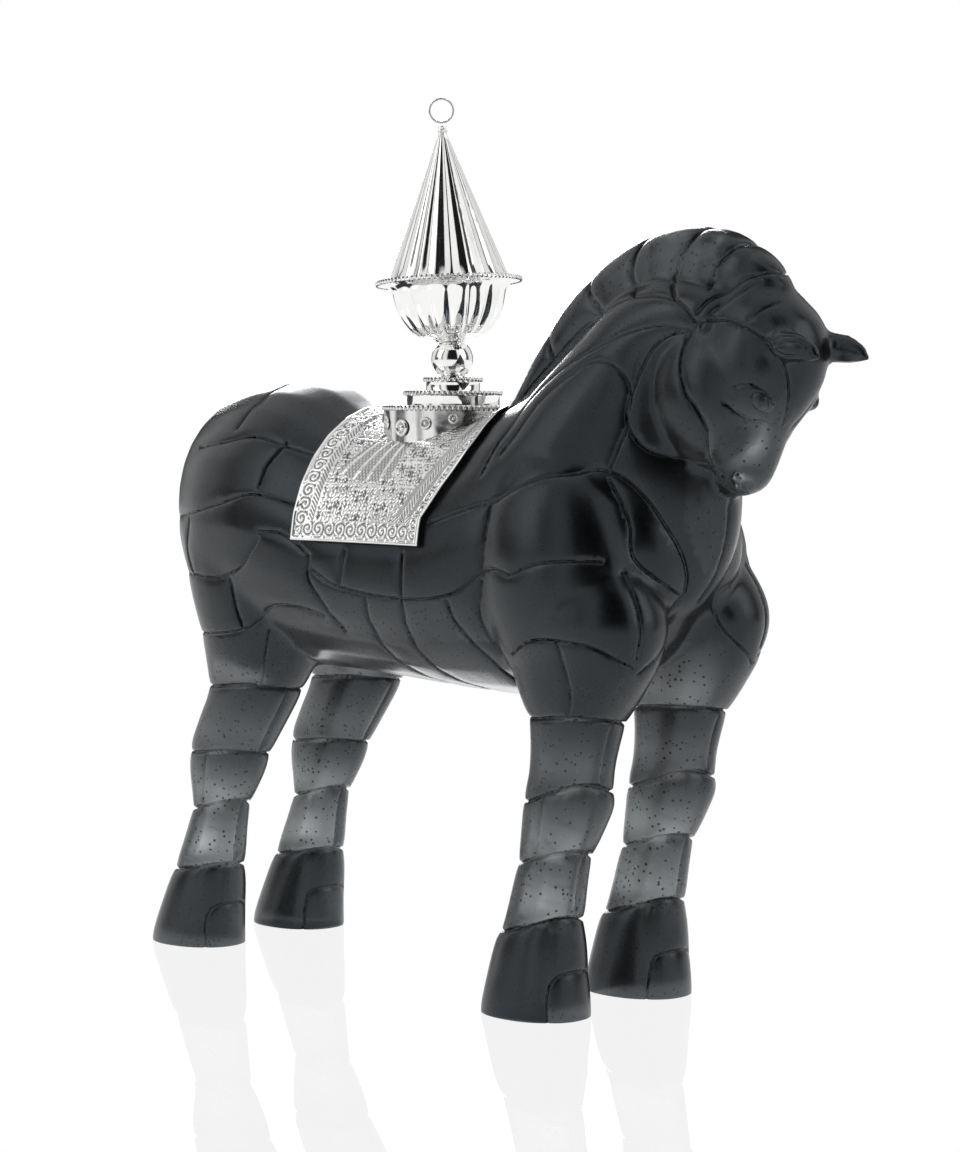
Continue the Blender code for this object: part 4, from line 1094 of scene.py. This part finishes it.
def silver(name, wear, colour, rough, tarnish, scratches, dents, oxide_and_shade=False):
    """Silver with its own wear, and if asked, darkened in the low parts: oxidised hollows, and on
    the rope strands also painted shade where the turns touch.
    """
    made, n, shader = new_material(name)
    links = made.node_tree.links
    worn = placed_group(n, wear, {"Tarnish": tarnish, "Scratches": scratches, "Dents": dents})
    dull = worn["Dull"]
    tint = n.mix(dull, (*colour, 1), (*[c * 0.55 for c in colour], 1))
    level = n.span(dull, 0.0, 1.0, rough, rough + 0.25)
    if oxide_and_shade:
        # Dark oxidised low parts; on the rope strands these are the touching ends, so here it is
        # also painted shade.
        relief = n.add("ShaderNodeAttribute", attribute_name="relief").outputs["Fac"]
        low = n.ramp(relief, [(0.0, 1.0), (0.35, 0.55), (0.75, 0.0)])
        tint = n.mix(low, tint, (0.035, 0.036, 0.038, 1))
        level = n.math("ADD", level, n.math("MULTIPLY", low, 0.3))
    links.new(tint, shader.inputs["Base Color"])
    links.new(level, shader.inputs["Roughness"])
    bump = n.add("ShaderNodeBump", {"Height": worn["Height"], "Strength": 0.25, "Distance": 0.001})
    links.new(bump.outputs[0], shader.inputs["Normal"])
    shader.inputs["Metallic"].default_value = 1.0
    return made


# The studio

FLOOR_GLOSS = 0.12
# What the world gives to reflections, as (turn, level) round the object. The camera stands at
# 7/8 of a turn. Dark gaps between the bright parts lie round there and at the other quarters.
LIGHT_BANDS = [(0.0, 0.95), (0.09, 0.95), (0.11, 0.06), (0.15, 0.06), (0.18, 0.8), (0.28, 0.8),
               (0.32, 0.04), (0.43, 0.04), (0.47, 0.8), (0.56, 0.8), (0.58, 0.06), (0.63, 0.06),
               (0.65, 0.9), (0.70, 0.9), (0.71, 0.25), (0.725, 0.25), (0.735, 0.9), (0.785, 0.9),
               (0.805, 0.01), (0.95, 0.01), (0.965, 0.95)]
# Soft boxes: name, place, the point each faces, width and power
SOFTBOXES = [
    ("back_softbox", (-1.5, 1.3, 1.15), (0, 0, 0.35), 0.9, 45.0),
    ("left_softbox", (-1.3, -1.7, 1.5), (0, 0, 0.25), 1.4, 7.0),
    ("right_softbox", (1.8, 0.9, 1.2), (0, 0, 0.25), 1.2, 6.0),
]
# The camera, in metres, and from the photograph: its focal length and horizon in pixels
CAMERA_RIGHT, CAMERA_BACK, CAMERA_HEIGHT = 0.03966, 1.602, 0.328
LENS = 86.72
IMAGE_MIDDLE, HORIZON, FOCAL_PIXELS = 576, 400, 2775


def look_along(obj, way):
    """Turns a lamp or camera to look along a direction."""
    obj.rotation_euler = way.to_track_quat("-Z", "Y").to_euler()


def pale_floor():
    """A plain floor that glows white, with a faint sharp reflection."""
    bpy.ops.object.select_all(action="DESELECT")
    bpy.ops.mesh.primitive_plane_add(size=14, location=(0, 0, 0))
    floor = bpy.context.object
    floor.name = "studio_floor"
    made, n, shader = new_material("pale_gloss_floor")
    made.node_tree.nodes.remove(shader)
    glow = n.add("ShaderNodeEmission", {"Color": (1, 1, 1, 1), "Strength": 1.0}).outputs[0]
    gloss = n.add("ShaderNodeBsdfGlossy", {"Color": (1, 1, 1, 1), "Roughness": 0.0}).outputs[0]
    both = n.add("ShaderNodeMixShader", {0: FLOOR_GLOSS, 1: glow, 2: gloss}).outputs[0]
    made.node_tree.links.new(both, made.node_tree.nodes["Material Output"].inputs["Surface"])
    floor.data.materials.append(made)


def surroundings():
    """White as seen directly, and bands of light and dark as seen in the gloss."""
    world = bpy.data.worlds.new("studio")
    bpy.context.scene.world = world
    world.use_nodes = True
    n = Nodes(world.node_tree)
    direction = n.add("ShaderNodeTexCoord").outputs["Generated"]
    axes = n.add("ShaderNodeSeparateXYZ", {"Vector": direction}).outputs
    turn = n.math("ARCTAN2", axes["Y"], axes["X"])
    turn = n.math("FRACT", n.math("DIVIDE", turn, 2 * math.pi))
    bands = n.ramp(turn, LIGHT_BANDS)
    bands = n.mix(n.span(axes["Z"], 0.78, 0.95), bands, (0.9, 0.9, 0.9, 1))
    lit = n.add("ShaderNodeBackground", {"Color": bands, "Strength": 1.0}).outputs[0]
    plain = n.add("ShaderNodeBackground", {"Color": (1, 1, 1, 1), "Strength": 1.0}).outputs[0]
    path = n.add("ShaderNodeLightPath").outputs
    seen = n.math("ADD", path["Is Camera Ray"], path["Is Transmission Ray"], True)
    # Only the floor reflects sharply, and it sees the same white as the camera
    seen = n.math("ADD", seen, path["Is Singular Ray"], True)
    both = n.add("ShaderNodeMixShader", {0: seen, 1: lit, 2: plain}).outputs[0]
    n.tree.links.new(both, n.tree.nodes["World Output"].inputs["Surface"])


def softboxes():
    """Soft lamps that the glass doesn't show through itself."""
    for name, place, target, width, power in SOFTBOXES:
        light = bpy.data.lights.new(name, "AREA")
        light.shape = "RECTANGLE"
        light.size = width
        light.size_y = width * 1.3
        light.energy = power
        lamp = new_object(name, light)
        lamp.visible_transmission = False
        lamp.location = place
        look_along(lamp, Vector(target) - Vector(place))


def camera():
    """The photograph's view, 45 degrees off the horse's side with a long lens."""
    lens = bpy.data.cameras.new("camera")
    lens.sensor_fit = "VERTICAL"
    lens.sensor_height = 36.0
    lens.lens = LENS
    view = new_object("camera", lens)
    bpy.context.scene.camera = view
    slant = math.sqrt(0.5)
    ahead, right = Vector((-slant, slant, 0)), Vector((slant, slant, 0))
    view.location = right * CAMERA_RIGHT - ahead * CAMERA_BACK + Vector((SHIFT, 0, CAMERA_HEIGHT))
    pitch = math.atan((IMAGE_MIDDLE - HORIZON) / FOCAL_PIXELS)
    look_along(view, ahead * math.cos(pitch) - Vector((0, 0, math.sin(pitch))))


# Putting it together

def silver_finishes():
    """The four silvers by name: polished, turned, of the ropes and chased."""
    wear = wear_group()
    return {
        "polished": silver("polished_silver", wear, (0.93, 0.93, 0.92), 0.07, 0.25, 0.15, 0.5),
        "turned": silver("burnished_silver", wear, (0.90, 0.90, 0.89), 0.11, 0.35, 0.25, 0.4),
        "rope": silver("rope_silver", wear, (0.88, 0.88, 0.87), 0.14, 0.4, 0.1, 0.2, oxide_and_shade=True),
        "chased": silver("chased_silver", wear, (0.92, 0.92, 0.91), 0.16, 0.3, 0.1, 0.2, oxide_and_shade=True),
    }


def horse_and_cloth(glass, chased):
    """The carved horse and the cloth formed on it. Returns the cloth's search tree."""
    horse = horse_form()
    form = BVHTree.FromObject(horse, bpy.context.evaluated_depsgraph_get())
    cloth, cloth_tree = saddle_cloth(form)
    finish_piece(cloth, chased, "silver", "saddle_cloth")
    carve(horse)
    source = [(v.co.copy(), v.normal.copy()) for v in horse.data.vertices]
    triangles = sum(len(p.vertices) - 2 for p in horse.data.polygons)
    modify(horse, "DECIMATE", ratio=min(1.0, HORSE_TRIANGLES / triangles))
    stand_flat(horse)
    settle(horse)
    mark_clear(horse)
    keep_normals(horse, source)
    horse.data.transform(Matrix.Translation((SHIFT, 0, 0)))
    horse.name = "crystal_horse_glass"
    finish_piece(horse, glass, "black_crystal", "crystal_horse")
    return cloth_tree


def collar_and_bosses(cloth_tree, top, finishes):
    """The drum on the cloth, its rope edge and its ten bosses, largest in the middle."""
    finish_piece(collar(cloth_tree, top), finishes["turned"], "silver", "saddle_collar")
    edge = ring_of("collar_rope", rope_turn(0.0010, 0.0019), 82, COLLAR_RADIUS, top - 0.0010)
    finish_piece(edge, finishes["rope"], "silver")
    places = [(side, step) for side in (-90, 90) for step in (-2, -1, 0, 1, 2)]
    for number, (side, step) in enumerate(places, 1):
        height = top - BOSS_DROP + BOSS_RISE * abs(step)
        piece = boss(f"boss_{number}", BOSS_RADII[abs(step)],
                     math.radians(side + BOSS_STEP * step), height)
        finish_piece(piece, finishes["rope"], "silver", f"rosette_{number}")


def covered_cup(top, finishes):
    """The foot, and on it the ball, bowl, lid and ring, which lean together."""
    base = top + FIT_GAP
    step, brim = base + STEP_HEIGHT, base + BRIM_HEIGHT
    seat = brim + SEAT_HEIGHT
    foot = stepped_foot(base - FIT_GAP, step, brim, seat)
    finish_piece(foot, finishes["polished"], "silver", "stepped_foot")
    ropes = [("lower_step_rope", 58, 0.0274, step), ("upper_step_rope", 34, 0.0162, brim)]
    for name, number, radius, height in ropes:
        rope = ring_of(name, rope_turn(0.0009, 0.0017), number, radius, height - 0.0009)
        finish_piece(rope, finishes["rope"], "silver")

    low = seat + FIT_GAP
    pieces = [(cup_ball(low), "polished", ["ball"])]
    low += BALL_HEIGHT + FIT_GAP
    pieces.append((lobed_bowl(low), "polished", ["fluted_bowl"]))
    low += BOWL_HEIGHT
    rim = ring_of("rim_rope", rope_turn(0.0009, 0.0018), 86, 0.0409, low - 0.0002)
    pieces.append((rim, "rope", []))
    low += FIT_GAP
    pieces.append((fluted_lid(low), "polished", ["fluted_lid"]))
    low += LID_HEIGHT + KNOB_HEIGHT + FIT_GAP
    beads = ring_of("lid_beads", bead(0.00075), 9, 0.0023, low - 0.0044)
    pieces.append((beads, "polished", []))
    pieces.append((wire_ring(low), "rope", ["lid_ring"]))
    for piece, finish, nodes in pieces:
        lean(piece, seat)
        finish_piece(piece, finishes[finish], "silver", *nodes)


glass = crystal(bubble_group())
silvers = silver_finishes()
cloth_face = horse_and_cloth(glass, silvers["chased"])
collar_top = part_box("saddle_collar")[1][2]
collar_and_bosses(cloth_face, collar_top, silvers)
covered_cup(collar_top, silvers)

bpy.context.scene.view_settings.view_transform = "Standard"
pale_floor()
surroundings()
softboxes()
camera()
